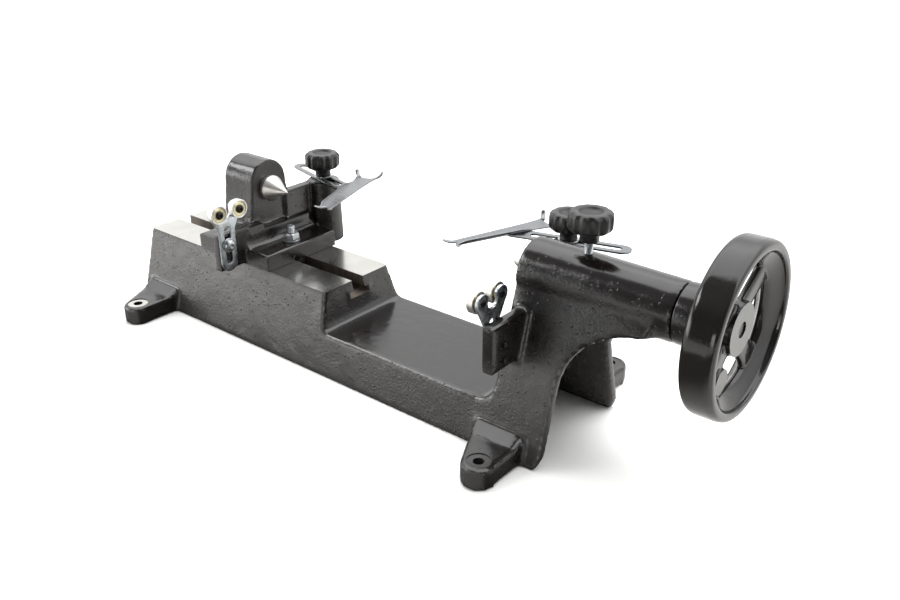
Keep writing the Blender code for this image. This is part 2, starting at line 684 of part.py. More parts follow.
def lip_outline():
    """The narrow upstand along the head's inner edge."""
    near = Vector((0.1000, -0.0575))
    far = Vector((0.0460, 0.0150))
    run = (far - near).normalized()
    across = Vector((run.y, -run.x)) * 0.0011
    return [tuple(p) for p in (near + across, far + across, far - across, near - across)]


def horn_lines():
    """Start and end of the four upturned horns, in the arm's own frame."""
    low = 0.0012
    return [((0.0246, 0.0346, low), (0.0190, 0.0375, 0.0085)),
            ((0.0450, 0.0518, low), (0.0462, 0.0585, 0.0085)),
            ((0.0994, -0.0580, low), (0.0962, -0.0650, 0.0040)),
            ((0.1100, -0.0516, low), (0.1168, -0.0560, 0.0040))]


def arm_set(side, x, top, mirror):
    """Arm, washer, knob and stud stacked on one post."""
    base = top + GAP
    arm(side, x, base, mirror)
    washer_base = base + ARM_THICK + GAP
    washer = rod((along(x), POST_Y, washer_base), (along(x), POST_Y, washer_base + 0.0016), 0.0110,
                 f"{side}_arm_washer", zinc_plate())
    combine(washer, "DIFFERENCE", rod((along(x), POST_Y, top), (along(x), POST_Y, top + 0.02),
                                      STUD_RADIUS + GAP, f"{side}_washer_hole"))
    knob_base = washer_base + 0.0016 + GAP
    knob(f"{side}_arm_knob", x, POST_Y, knob_base)
    rod((along(x), POST_Y, top - 0.0220), (along(x), POST_Y, knob_base + 0.0137), STUD_RADIUS,
        f"{side}_arm_stud", zinc_plate())


# ------------------------------------------------------------------ tailstock works
def quill_set():
    """Quill, its pressed-in centre, its nut, and the lead screw that drives it."""
    z = CENTRE_HEIGHT
    right = QUILL_LEFT + QUILL_LENGTH
    quill = rod((along(QUILL_LEFT), 0, z), (along(right), 0, z), QUILL_RADIUS, "quill",
                bright_steel(), sides=32)
    deep_bore = rod((along(QUILL_LEFT + 0.022), 0, z), (along(right + 0.01), 0, z),
                    SCREW_RADIUS + 0.0012, "quill_screw_bore")
    front_bore = rod((along(QUILL_LEFT - 0.01), 0, z), (along(QUILL_LEFT + 0.024), 0, z),
                     0.0085 + GAP, "quill_socket")
    nut_seat = rod((along(right - 0.020), 0, z), (along(right + 0.01), 0, z), 0.0115 + GAP,
                   "quill_nut_seat")
    keyway = box((along(QUILL_LEFT + 0.006), -0.0025, z - 0.020), (along(right + 0.01), 0.0025, z - 0.0125),
                 "quill_keyway")
    combine(quill, "DIFFERENCE", deep_bore, front_bore, nut_seat, keyway)
    nut = rod((along(right - 0.0197), 0, z), (along(right), 0, z), 0.0115, "quill_nut", brass())
    combine(nut, "DIFFERENCE", rod((along(right - 0.03), 0, z), (along(right + 0.01), 0, z),
                                   SCREW_RADIUS + GAP, "nut_bore"))
    tip = QUILL_LEFT - CENTRE_CONE
    shank = 0.0200
    profile = [(0, 0), (CENTRE_BASE_RADIUS, -CENTRE_CONE + GAP)]
    profile += [(0.0085, -CENTRE_CONE + GAP), (0.0085, -CENTRE_CONE - shank), (0, -CENTRE_CONE - shank)]
    turned(profile, pointing(tip, 0, z, (-1, 0, 0)), "quill_centre", bright_steel(), 32)
    screw_end = QUILL_LEFT + 0.024
    screw = rod((along(screw_end), 0, z), (along(HUB_FRONT - 0.003), 0, z), SCREW_RADIUS,
                "lead_screw", bright_steel())
    flange = rod((along(QUILL_BORE_END - 0.0052), 0, z), (along(QUILL_BORE_END - GAP - 0.0018), 0, z),
                 0.0125, "screw_flange")
    combine(screw, "UNION", flange)


def collar_set():
    """Thrust washer inside the barrel, and the collar that closes its right end."""
    z = CENTRE_HEIGHT
    washer = rod((along(QUILL_BORE_END - 0.0018), 0, z), (along(QUILL_BORE_END - GAP), 0, z),
                 0.0130, "thrust_washer", brass())
    combine(washer, "DIFFERENCE", rod((along(0.69), 0, z), (along(0.72), 0, z),
                                      SCREW_RADIUS + 0.0005, "thrust_hole"))
    start = BARREL_RIGHT + GAP
    collar = rod((along(start), 0, z), (along(COLLAR_RIGHT), 0, z), BARREL_RADIUS_RIGHT,
                 "thrust_collar", black_enamel(), end_radius=BARREL_RADIUS_RIGHT - 0.0005, sides=40)
    combine(collar, "DIFFERENCE", rod((along(0.70), 0, z), (along(0.76), 0, z),
                                      SCREW_RADIUS + 0.0006, "collar_bore"))


def lock_set():
    """Quill lock: knob and stud on top of the barrel, brass pad on the quill."""
    z = CENTRE_HEIGHT
    knob("lock_knob", LOCK_X, 0, 0.2098)
    rod((along(LOCK_X), 0, z + QUILL_RADIUS + 0.0045), (along(LOCK_X), 0, 0.2235), STUD_RADIUS,
        "lock_stud", zinc_plate())
    rod((along(LOCK_X), 0, z + QUILL_RADIUS + 0.0008), (along(LOCK_X), 0, z + QUILL_RADIUS + 0.0042),
        STUD_RADIUS - 0.0001, "lock_pad", brass(), sides=20)
    rod((along(KEY_X), 0, z - 0.0265), (along(KEY_X), 0, z - 0.0130), KEY_RADIUS, "quill_key",
        black_oxide(), sides=16)


def rim_profile():
    """Rounded rim section as (radius, along axis) points, from the top down outside."""
    half = RIM_HALF_WIDTH
    inner = WHEEL_RADIUS - RIM_THICKNESS
    points = [(inner + 0.0040, half - 0.0035), (inner + 0.0090, half)]
    points += [(WHEEL_RADIUS - r, h) for r, h in ((0.0080, half), (0.0030, half - 0.0035))]
    points += [(WHEEL_RADIUS, half - 0.0095), (WHEEL_RADIUS, -half + 0.0095)]
    points += [(WHEEL_RADIUS - r, -h) for r, h in ((0.0030, half - 0.0035), (0.0080, half))]
    points += [(inner + 0.0090, -half), (inner + 0.0040, -half + 0.0035)]
    points += [(inner, -0.0060), (inner, 0.0060)]
    return points


def handwheel():
    """Cast handwheel: rim, four broad spokes, hub and a small lug for a crank handle."""
    z = CENTRE_HEIGHT
    place = pointing(WHEEL_X, 0, z, (1, 0, 0))
    loop = rim_profile()
    loop.append(loop[0])
    wheel = turned(loop, place, "handwheel", black_enamel(), 48)
    hub = rod((along(HUB_BACK), 0, z), (along(HUB_FRONT), 0, z), HUB_RADIUS, "wheel_hub", sides=32)
    for i in range(SPOKES):
        angle = SPOKE_TURN + 2 * math.pi * i / SPOKES
        outline = [(0.010, -0.0095), (0.060, -0.0125), (0.060, 0.0125), (0.010, 0.0095)]
        lay = facing_x(along(WHEEL_X - 0.007)) @ Matrix.Translation((0, z, 0))
        lay = lay @ Matrix.Rotation(angle, 4, "Z")
        combine(wheel, "UNION", prism(outline, 0.012, lay, f"spoke_{i + 1}"))
    combine(wheel, "UNION", hub)
    lug_angle = math.radians(238)
    ly = 0.047 * math.cos(lug_angle)
    lz = z + 0.047 * math.sin(lug_angle)
    lug = rod((along(WHEEL_X - 0.008), ly, lz), (along(WHEEL_X + 0.0105), ly, lz), 0.0115,
              "handle_lug")
    bore = rod((along(0.74), 0, z), (along(0.79), 0, z), SCREW_RADIUS + GAP, "wheel_bore")
    set_hole = rod((along(0.7510), 0, z + 0.004), (along(0.7510), 0, z + 0.040), 0.0030,
                   "set_screw_hole", sides=16)
    combine(wheel, "UNION", lug)
    combine(wheel, "DIFFERENCE", bore, set_hole)
    rod((along(0.7510), 0, z + SCREW_RADIUS + 0.0008), (along(0.7510), 0, z + 0.0225), 0.0027,
        "wheel_set_screw", black_oxide(), sides=16)


bed_casting()
headstock_casting()
headstock_centre()
clamp_set()
left_rest()
right_rest()
arm_set("left", LEFT_POST_X, LEFT_POST_TOP, 1)
arm_set("right", RIGHT_POST_X, RIGHT_POST_TOP, -1)
quill_set()
collar_set()
lock_set()
handwheel()
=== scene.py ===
"""Finished look of a small cast-iron bench lathe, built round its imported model: enamelled
castings, ground ways, zinc-plated rests, steel centres and black plastic knobs."""
import json
import math

import bmesh
import bpy
import numpy as np
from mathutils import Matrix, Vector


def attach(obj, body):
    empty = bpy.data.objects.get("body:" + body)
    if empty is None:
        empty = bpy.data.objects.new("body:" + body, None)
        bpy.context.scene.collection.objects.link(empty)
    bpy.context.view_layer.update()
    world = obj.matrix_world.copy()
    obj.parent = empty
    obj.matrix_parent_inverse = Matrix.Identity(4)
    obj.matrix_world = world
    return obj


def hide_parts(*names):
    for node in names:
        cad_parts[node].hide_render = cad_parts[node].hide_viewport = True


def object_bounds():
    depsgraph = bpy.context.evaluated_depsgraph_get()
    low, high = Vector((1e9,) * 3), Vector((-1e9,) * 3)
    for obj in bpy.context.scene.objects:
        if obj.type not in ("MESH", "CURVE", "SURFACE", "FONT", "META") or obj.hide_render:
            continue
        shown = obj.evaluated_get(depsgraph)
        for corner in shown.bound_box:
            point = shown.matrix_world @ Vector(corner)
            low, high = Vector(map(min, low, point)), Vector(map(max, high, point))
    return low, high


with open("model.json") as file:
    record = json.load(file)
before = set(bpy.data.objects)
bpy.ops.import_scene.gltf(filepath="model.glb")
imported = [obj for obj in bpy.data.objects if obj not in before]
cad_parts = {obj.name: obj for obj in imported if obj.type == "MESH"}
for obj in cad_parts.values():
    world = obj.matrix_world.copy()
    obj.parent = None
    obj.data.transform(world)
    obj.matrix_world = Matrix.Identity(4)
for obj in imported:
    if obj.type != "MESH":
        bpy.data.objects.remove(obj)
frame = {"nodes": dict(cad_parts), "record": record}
cad_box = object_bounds()
nodes = frame["nodes"]

# ---------------------------------------------------------------- where it stands
# A white table under a light tent: the back and the ceiling glow, and the side that the
# operator stands on is dim, so black enamel shows a sharp edge along every round top.
floor_mesh = bpy.data.meshes.new("floor")
floor_mesh.from_pydata([(-6, -6, 0), (6, -6, 0), (6, 6, 0), (-6, 6, 0)], [], [(0, 1, 2, 3)])
floor = bpy.data.objects.new("floor", floor_mesh)
bpy.context.scene.collection.objects.link(floor)


def linear(code):
    """Linear colour of an sRGB hex code."""
    channels = [int(code[i:i + 2], 16) / 255 for i in (1, 3, 5)]
    return (*[c / 12.92 if c <= 0.04045 else ((c + 0.055) / 1.055) ** 2.4 for c in channels], 1)


def add(tree, kind, inputs=None, **settings):
    """Add a shader node: settings are its properties, inputs are values or linked outputs."""
    made = tree.nodes.new(kind)
    for name, value in settings.items():
        setattr(made, name, value)
    for name, value in (inputs or {}).items():
        if isinstance(value, bpy.types.NodeSocket):
            tree.links.new(value, made.inputs[name])
        else:
            made.inputs[name].default_value = value
    return made


def new_material(name):
    """An empty node material, with its tree, its Principled shader and its Object coordinates."""
    material = bpy.data.materials.new(name)
    material.use_nodes = True
    tree = material.node_tree
    place = add(tree, "ShaderNodeTexCoord").outputs["Object"]
    return material, tree, tree.nodes["Principled BSDF"], place


def dress(tree, shader, tone=None, sheen=None, relief=(), **values):
    """Wire a finish to its shader. tone is a pattern and the two colours that it runs between.
    sheen is a pattern and the roughness where it is 0.3 and 0.7. relief is rows of pattern, depth
    in metres and strength, laid one on another. values are plain numbers for other sockets."""
    if tone:
        mixed = add(tree, "ShaderNodeMix", {"Factor": tone[0], "A": linear(tone[1]),
                                            "B": linear(tone[2])}, data_type="RGBA")
        tree.links.new(mixed.outputs["Result"], shader.inputs["Base Color"])
    if sheen:
        rough = add(tree, "ShaderNodeMapRange", {"Value": sheen[0], "From Min": 0.3,
                                                 "From Max": 0.7, "To Min": sheen[1],
                                                 "To Max": sheen[2]})
        tree.links.new(rough.outputs[0], shader.inputs["Roughness"])
    for pattern, depth, strength in relief:
        bump = add(tree, "ShaderNodeBump", {"Height": pattern, "Distance": depth,
                                            "Strength": strength})
        for link in shader.inputs["Normal"].links:
            tree.links.new(link.from_socket, bump.inputs["Normal"])
        tree.links.new(bump.outputs["Normal"], shader.inputs["Normal"])
    for name, value in values.items():
        shader.inputs[name.replace("_", " ")].default_value = value


def span(tree, value, low, high, start, end):
    """A smooth ramp from start to end while value goes from low to high."""
    made = add(tree, "ShaderNodeMapRange", {"Value": value, "From Min": low, "From Max": high,
                                            "To Min": start, "To Max": end},
               interpolation_type="SMOOTHSTEP")
    return made.outputs[0]


def white_paper_table():
    """Matt white paper with a faint tooth. Its colour in reflections is painted shade: grey in
    front of the lathe, as if the operator shaded it, and pale at the right, at the back and at the
    far left."""
    material, tree, shader, place = new_material("white_paper_table")
    tooth = add(tree, "ShaderNodeTexNoise", {"Vector": place, "Scale": 400.0, "Detail": 2.0})
    spot = add(tree, "ShaderNodeSeparateXYZ", {"Vector": place})
    away = add(tree, "ShaderNodeMath", {0: spot.outputs["X"], 1: 0.9, 2: spot.outputs["Y"]},
               operation="MULTIPLY_ADD")
    behind = span(tree, away.outputs[0], 0.06, 0.30, 0.0, 1.0)
    corner = span(tree, away.outputs[0], -0.62, -0.48, 1.0, 0.0)
    pale = add(tree, "ShaderNodeMath", {0: behind, 1: corner}, operation="MAXIMUM")
    shade = add(tree, "ShaderNodeMix", {"Factor": pale.outputs[0], "A": linear("#565453"),
                                        "B": linear("#d2d1cf")}, data_type="RGBA")
    # painted shade: reflected rays see the floor grey in front of the lathe and pale behind and at
    # the sides
    ray = add(tree, "ShaderNodeLightPath").outputs["Is Glossy Ray"]
    tone = add(tree, "ShaderNodeMix", {"Factor": ray, "A": linear("#fafaf8"),
                                       "B": shade.outputs["Result"]}, data_type="RGBA")
    tree.links.new(tone.outputs["Result"], shader.inputs["Base Color"])
    dress(tree, shader, relief=[(tooth.outputs["Fac"], 0.0001, 0.2)], Roughness=0.9,
          Specular_IOR_Level=0.0)
    return material


floor_mesh.materials.append(white_paper_table())


def light_tent():
    """World light by direction: a bright back and ceiling, a dim front, one tall panel low at
    the front left that draws the long soft shine on the bed's sloping side, a softbox high at the
    left that picks out the eased edges, and a small window that streaks the handwheel's tread."""
    world = bpy.data.worlds.new("light_tent")
    bpy.context.scene.world = world
    world.use_nodes = True
    tree = world.node_tree
    tree.nodes.clear()
    ray = add(tree, "ShaderNodeTexCoord").outputs["Generated"]
    axes = add(tree, "ShaderNodeSeparateXYZ", {"Vector": ray})
    x, y, z = axes.outputs
    ceiling_glow = span(tree, z, 0.45, 0.80, 1.45, 3.2)
    back = span(tree, y, -0.22, -0.08, 0.10, 1.0)
    tent_glow = add(tree, "ShaderNodeMath", {0: ceiling_glow, 1: back}, operation="MULTIPLY")
    panel = span(tree, x, -0.78, -0.45, 5.0, 1.9)
    panel_top = span(tree, z, 0.16, 0.34, 1.0, 0.0)
    panel_front = span(tree, y, -0.30, -0.10, 1.0, 0.0)
    panel_left = span(tree, x, -0.60, -0.40, 1.0, 0.0)
    for limit in (panel_top, panel_front, panel_left):
        panel = add(tree, "ShaderNodeMath", {0: panel, 1: limit}, operation="MULTIPLY").outputs[0]
    glow = add(tree, "ShaderNodeMath", {0: tent_glow.outputs[0], 1: panel},
               operation="ADD")
    for low, high, strength in (((-0.85, -0.62, 0.46), (-0.48, -0.26, 0.66), 8.0),
                                ((0.02, -1.00, -0.02), (0.24, -0.86, 0.20), 4.0)):
        lamp_shape = strength
        for value, start, end in zip((x, y, z), low, high):
            rise = span(tree, value, start - 0.03, start + 0.03, 0.0, 1.0)
            fall = span(tree, value, end - 0.03, end + 0.03, 1.0, 0.0)
            lit = add(tree, "ShaderNodeMath", {0: rise, 1: fall}, operation="MULTIPLY")
            lamp_shape = add(tree, "ShaderNodeMath", {0: lit.outputs[0], 1: lamp_shape},
                             operation="MULTIPLY").outputs[0]
        glow = add(tree, "ShaderNodeMath", {0: glow.outputs[0], 1: lamp_shape}, operation="ADD")
    tent = add(tree, "ShaderNodeBackground", {"Color": (1, 1, 1, 1), "Strength": glow.outputs[0]})
    backdrop = add(tree, "ShaderNodeBackground", {"Color": (1, 1, 1, 1), "Strength": 1.15})
    path = add(tree, "ShaderNodeLightPath")
    mix = add(tree, "ShaderNodeMixShader", {0: path.outputs["Is Camera Ray"],
                                            1: tent.outputs[0], 2: backdrop.outputs[0]})
    add(tree, "ShaderNodeOutputWorld", {"Surface": mix.outputs[0]})


light_tent()
ceiling = bpy.data.lights.new("ceiling_softbox", "AREA")
ceiling.shape = "RECTANGLE"
ceiling.size = 2.2
ceiling.size_y = 1.2
ceiling.energy = 26
lamp = bpy.data.objects.new("ceiling_softbox", ceiling)
lamp.location = (-0.1, 0.60, 1.7)
lamp.rotation_euler = (math.radians(-19), 0, 0)
lamp.visible_glossy = False
bpy.context.scene.collection.objects.link(lamp)

lens = bpy.data.cameras.new("camera")
lens.lens = 37.21
lens.sensor_width = 36
lens.clip_start = 0.01
camera = bpy.data.objects.new("camera", lens)
camera.location = (0.6259, -0.6902, 0.5257)
camera.rotation_euler = (math.radians(64.57), 0, math.radians(38.98))
bpy.context.scene.collection.objects.link(camera)
bpy.context.scene.camera = camera
bpy.context.scene.view_settings.view_transform = "Standard"

# ---------------------------------------------------------------- bed casting
# Bed, deck, tailstock leg and barrel are one grey-iron sand casting, enamelled black by
# brush. Only the ways, their slot, the quill bore and the foot seats are machined after.
BED_VOXEL = 0.0026
WAYS_HEIGHT = 0.0903
WAYS_LEFT = cad_box[0].x
WAYS_RIGHT = WAYS_LEFT + 0.322
AXIS_HEIGHT = 0.1697
SLOT_LEDGE = 0.0705
FLAT = 0.00005  # how near a face has to be to a machined plane to count as machined
FOOT_X = (WAYS_LEFT + 0.054, WAYS_LEFT + 0.590)
FOOT_Y = 0.120


def grid(points, closed=False):
    """Corners and quads of a surface: points[i, j] meets its neighbours, closed joins the ends."""
    rows, columns = points.shape[:2]
    index = np.arange(rows * columns).reshape(rows, columns)
    ahead = np.roll(index, -1, axis=1)
    if not closed:
        index, ahead = index[:, :-1], ahead[:, :-1]
    quads = np.stack([index[:-1], ahead[:-1], ahead[1:], index[1:]], axis=-1).reshape(-1, 4)
    return points.reshape(-1, 3), quads


def lay(radius, angle, height, base, axis):
    """Polar points about an axis line: base + axis * height + radius round it at angle."""
    axis = np.array(axis, float)
    side = np.array((0.0, 1.0, 0.0)) if abs(axis[0]) > 0.9 else np.array((1.0, 0.0, 0.0))
    up = np.cross(axis, side)
    ring = np.cos(angle)[..., None] * side + np.sin(angle)[..., None] * up
    return np.array(base, float) + height[..., None] * axis + radius[..., None] * ring


def lathe(profile, base, axis, steps=96, shape=None):
    """Turned surface: (radius, height) points spun about the axis; shape may change the radius."""
    profile = np.array(profile, float)
    angle, radius = np.meshgrid(np.linspace(0, 2 * math.pi, steps, endpoint=False), profile[:, 0])
    height = np.repeat(profile[:, 1:], steps, axis=1)
    if shape:
        radius = shape(radius, angle, height)
    return grid(lay(radius, angle, height, base, axis), closed=True)


def block(low, high):
    """The six sides of a box between two corners, as corners and quads."""
    corners = np.array([(x, y, z) for x in (0, 1) for y in (0, 1) for z in (0, 1)], float)
    low, high = np.array(low, float), np.array(high, float)
    quads = np.array([(0, 1, 3, 2), (4, 6, 7, 5), (0, 4, 5, 1), (2, 3, 7, 6), (0, 2, 6, 4),
                      (1, 5, 7, 3)])
    return low + corners * (high - low), quads


def mesh_of(name, surfaces):
    """One merged mesh with outward normals from several grids."""
    starts = np.cumsum([0] + [len(corners) for corners, _ in surfaces])
    corners = np.concatenate([corners for corners, _ in surfaces])
    quads = np.concatenate([faces + start for (_, faces), start in zip(surfaces, starts)])
    mesh = bpy.data.meshes.new(name)
    mesh.from_pydata(corners.tolist(), [], quads.tolist())
    shape = bmesh.new()
    shape.from_mesh(mesh)
    bmesh.ops.remove_doubles(shape, verts=shape.verts, dist=0.000002)
    bmesh.ops.dissolve_degenerate(shape, edges=shape.edges, dist=0.000001)
    bmesh.ops.recalc_face_normals(shape, faces=shape.faces)
    shape.to_mesh(mesh)
    shape.free()
    return mesh


def shown(name, node, mesh, body, slot, *materials, sharp=32):
    """Put a finished mesh in the scene: smooth with sharp edges, on its body, and in place of its
    CAD node if it has one. slot is not used."""
    mesh.name = name
    mesh.materials.clear()
    for material in materials:
        mesh.materials.append(material)
    mesh.shade_smooth()
    mesh.set_sharp_from_angle(angle=math.radians(sharp))
    piece = bpy.data.objects.new(name, mesh)
    bpy.context.scene.collection.objects.link(piece)
    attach(piece, body)
    if node:
        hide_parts(node)
    return piece


def finished(mesh, *steps):
    """The mesh after a stack of modifiers, given as (kind, settings)."""
    carrier = bpy.data.objects.new("carrier", mesh)
    bpy.context.scene.collection.objects.link(carrier)
    for kind, settings in steps:
        step = carrier.modifiers.new(kind.lower(), kind)
        for name, value in settings.items():
            setattr(step, name, value)
    bpy.context.view_layer.update()
    seen = carrier.evaluated_get(bpy.context.evaluated_depsgraph_get())
    result = bpy.data.meshes.new_from_object(seen)
    bpy.data.objects.remove(carrier)
    return result


def merged_copy(node):
    """Corners and faces of a CAD node with its loose triangles merged, as one surface."""
    shape = bmesh.new()
    shape.from_mesh(nodes[node].data)
    bmesh.ops.remove_doubles(shape, verts=shape.verts, dist=0.000005)
    mesh = bpy.data.meshes.new(node + "_copy")
    shape.to_mesh(mesh)
    shape.free()
    return mesh


def as_cast(core, stock, voxel, rounds):
    """Sand-cast skin: core and stock fused on a voxel grid, then relaxed so that edges round."""
    extra = mesh_of("stock", stock)
    shape = bmesh.new()
    shape.from_mesh(core)
    shape.from_mesh(extra)
    whole = bpy.data.meshes.new("whole")
    shape.to_mesh(whole)
    shape.free()
    return finished(whole, ("REMESH", {"mode": "VOXEL", "voxel_size": voxel}),
                    ("SMOOTH", {"factor": 0.5, "iterations": rounds}))


def machined(mesh, cutters):
    """Cut closed tools out of a casting, each leaving crisp edges."""
    tools = []
    steps = []
    for i, cutter in enumerate(cutters):
        tool = bpy.data.objects.new(f"tool_{i}", mesh_of(f"tool_{i}", cutter))
        bpy.context.scene.collection.objects.link(tool)
        tools.append(tool)
        steps.append(("BOOLEAN", {"operation": "DIFFERENCE", "object": tool, "solver": "MANIFOLD"}))
    result = finished(mesh, *steps)
    for tool in tools:
        bpy.data.objects.remove(tool)
    return result


def rod(x, y, z, radius, length, axis, end_radius=None):
    """A closed smooth cylinder or cone from a point along an axis."""
    far = radius if end_radius is None else end_radius
    return lathe([(0, 0), (radius, 0), (far, length), (0, length)], (x, y, z), axis)


def bed_stock():
    """Metal added before the skin is formed: over the ways, in every hole, and round the barrel."""
    left, right = WAYS_LEFT, WAYS_RIGHT
    stock = [block((left, -0.0511, 0.0788), (right, 0.0511, WAYS_HEIGHT + 0.007))]
    stock.append(block((left + 0.0002, -0.017, 0.058), (left + 0.0098, 0.017, 0.082)))
    stock.append(block((right - 0.0096, -0.017, 0.058), (right + 0.0010, 0.017, 0.082)))
    stock.append(block((right - 0.030, -0.0175, 0.0560), (right + 0.0040, 0.0175, 0.0790)))
    for x in FOOT_X:
        for y in (-FOOT_Y, FOOT_Y):
            stock.append(rod(x, y, 0.0, 0.0174, 0.023, (0, 0, 1)))
    start = left + 0.5627
    stock.append(rod(start, 0, AXIS_HEIGHT, 0.0316, 0.1583, (1, 0, 0), 0.0286))
    stock.append(rod(left + 0.551, 0.080, 0.1002, 0.0216, 0.0668, (0, 0, 1), 0.0196))
    stock.append(block((left + 0.570, -0.080, 0.0985), (left + 0.582, -0.068, 0.130)))
    return stock


def bed_cuts():
    """What the mill, the drill and the boring bar take out of the enamelled casting."""
    left = WAYS_LEFT
    cuts = [[block((left - 0.02, -0.07, WAYS_HEIGHT), (WAYS_RIGHT + 0.012, 0.07, 0.12))]]
    cuts.append([block((left - 0.02, -0.009, SLOT_LEDGE), (left + 0.342, 0.009, 0.12))])
    cuts.append([block((left - 0.02, -0.0155, SLOT_LEDGE), (left + 0.342, 0.0155, 0.0783))])
    cuts.append([block((left - 0.02, -0.0155, 0.0570),
                       (WAYS_RIGHT - 0.0125, 0.0155, SLOT_LEDGE + 0.002))])
    cuts.append([rod(left + 0.550, 0, AXIS_HEIGHT, 0.0163, 0.158, (1, 0, 0))])
    cuts.append([rod(left + 0.6215, 0, 0.182, 0.0043, 0.03, (0, 0, 1))])
    for x in FOOT_X:
        for y in (-FOOT_Y, FOOT_Y):
            cuts.append([rod(x, y, -0.01, 0.0055, 0.05, (0, 0, 1))])
            cuts.append([rod(x, y, 0.0222, 0.0122, 0.03, (0, 0, 1))])
    for z in (0.1055, 0.1225):
        cuts.append([rod(left + 0.560, -0.0740, z, 0.0033, 0.04, (1, 0, 0))])
    return cuts


def gloss_black_enamel():
    """Brushed-on black enamel on raw sand casting: wet gloss on the flats, crinkled orange peel on
    the upright walls, pimples where sand stuck, and painted light that greys the low walls facing
    the front."""
    material, tree, shader, place = new_material("gloss_black_enamel")
    cloud = add(tree, "ShaderNodeTexNoise", {"Vector": place, "Scale": 16.0, "Detail": 2.0})
    facing = add(tree, "ShaderNodeSeparateXYZ",
                 {"Vector": add(tree, "ShaderNodeTexCoord").outputs["Normal"]})
    upright = add(tree, "ShaderNodeMath", {0: facing.outputs["Z"]}, operation="ABSOLUTE")
    wall = span(tree, upright.outputs[0], 0.35, 0.75, 1.0, 0.12)
    patch = add(tree, "ShaderNodeMapRange", {"Value": cloud.outputs["Fac"], "From Min": 0.38,
                                             "From Max": 0.62, "To Min": 0.35, "To Max": 1.0})
    rough_here = add(tree, "ShaderNodeMath", {0: wall, 1: patch.outputs[0]}, operation="MULTIPLY")
    swell = add(tree, "ShaderNodeTexNoise", {"Vector": place, "Scale": 55.0, "Detail": 1.0})
    wavy = add(tree, "ShaderNodeTexNoise", {"Vector": place, "Scale": 380.0, "Detail": 3.0,
                                            "Roughness": 0.6, "Distortion": 0.2})
    crinkle = add(tree, "ShaderNodeMath", {0: wavy.outputs["Fac"], 1: rough_here.outputs[0]},
                  operation="MULTIPLY")
    blister = add(tree, "ShaderNodeTexVoronoi", {"Vector": place, "Scale": 170.0})
    pimple = span(tree, blister.outputs["Distance"], 0.04, 0.24, 1.0, 0.0)
    chance = add(tree, "ShaderNodeSeparateColor", {"Color": blister.outputs["Color"]})
    few = add(tree, "ShaderNodeMath", {0: chance.outputs[0], 1: 0.52}, operation="GREATER_THAN")
    for limit in (few.outputs[0], wall):
        pimple = add(tree, "ShaderNodeMath", {0: pimple, 1: limit}, operation="MULTIPLY").outputs[0]
    gloss = add(tree, "ShaderNodeMapRange", {"Value": rough_here.outputs[0], "From Min": 0.1,
                                             "From Max": 1.0, "To Min": 0.17, "To Max": 0.30})
    tree.links.new(gloss.outputs[0], shader.inputs["Roughness"])
    tint = add(tree, "ShaderNodeMix", {"Factor": cloud.outputs["Fac"], "A": linear("#0a0808"),
                                       "B": linear("#161210")}, data_type="RGBA")
    # painted light: low walls that face the front are mixed towards grey
    height = add(tree, "ShaderNodeSeparateXYZ", {"Vector": place}).outputs["Z"]
    low = span(tree, height, 0.086, 0.118, 1.0, 0.0)
    front = span(tree, facing.outputs["Y"], -0.75, -0.45, 0.75, 0.0)
    painted_light_mask = add(tree, "ShaderNodeMath", {0: low, 1: front}, operation="MULTIPLY")
    painted_light_tint = add(tree, "ShaderNodeMix", {"Factor": painted_light_mask.outputs[0], "A": tint.outputs["Result"],
                                        "B": linear("#413f3e")}, data_type="RGBA")
    tree.links.new(painted_light_tint.outputs["Result"], shader.inputs["Base Color"])
    dress(tree, shader, relief=[(swell.outputs["Fac"], 0.0010, 0.6),
                                (crinkle.outputs[0], 0.0006, 1.0), (pimple, 0.0009, 1.0)], IOR=1.6)
    return material


def ground_grey_iron():
    """Surface-ground iron: bright, with fine grinding lines across the bed and a soft sheen."""
    material, tree, shader, place = new_material("ground_grey_iron")
    line_space = add(tree, "ShaderNodeMapping", {"Vector": place, "Scale": (1400.0, 30.0, 30.0)})
    lines = add(tree, "ShaderNodeTexNoise", {"Vector": line_space.outputs[0], "Scale": 1.0,
                                             "Detail": 3.0}).outputs["Fac"]
    stain = add(tree, "ShaderNodeTexNoise", {"Vector": place, "Scale": 35.0, "Detail": 4.0})
    dress(tree, shader, (stain.outputs["Fac"], "#d2d1cc", "#b6b5af"), (lines, 0.13, 0.23),
          [(lines, 0.00003, 0.35)], Metallic=1.0)
    return material


def milled_slot_iron():
    """Slot walls straight off the mill: duller than the ways and browned by oil and rust."""
    material, tree, shader, place = new_material("milled_slot_iron")
    spots = add(tree, "ShaderNodeTexNoise", {"Vector": place, "Scale": 120.0,
                                             "Detail": 5.0}).outputs["Fac"]
    dress(tree, shader, (spots, "#8d8781", "#5a4a3e"), relief=[(spots, 0.0001, 0.4)], Metallic=0.8,
          Roughness=0.5)
    return material


def paint_faces(mesh, index, chosen):
    """Give a material index to the faces that chosen(centres, normals) picks."""
    count = len(mesh.polygons)
    centres = np.zeros(count * 3, np.float32)
    normals = np.zeros(count * 3, np.float32)
    current = np.zeros(count, np.int32)
    mesh.polygons.foreach_get("center", centres)
    mesh.polygons.foreach_get("normal", normals)
    mesh.polygons.foreach_get("material_index", current)
    picked = chosen(centres.reshape(-1, 3), normals.reshape(-1, 3))
    current[picked] = index
    mesh.polygons.foreach_set("material_index", current)
    mesh.update()


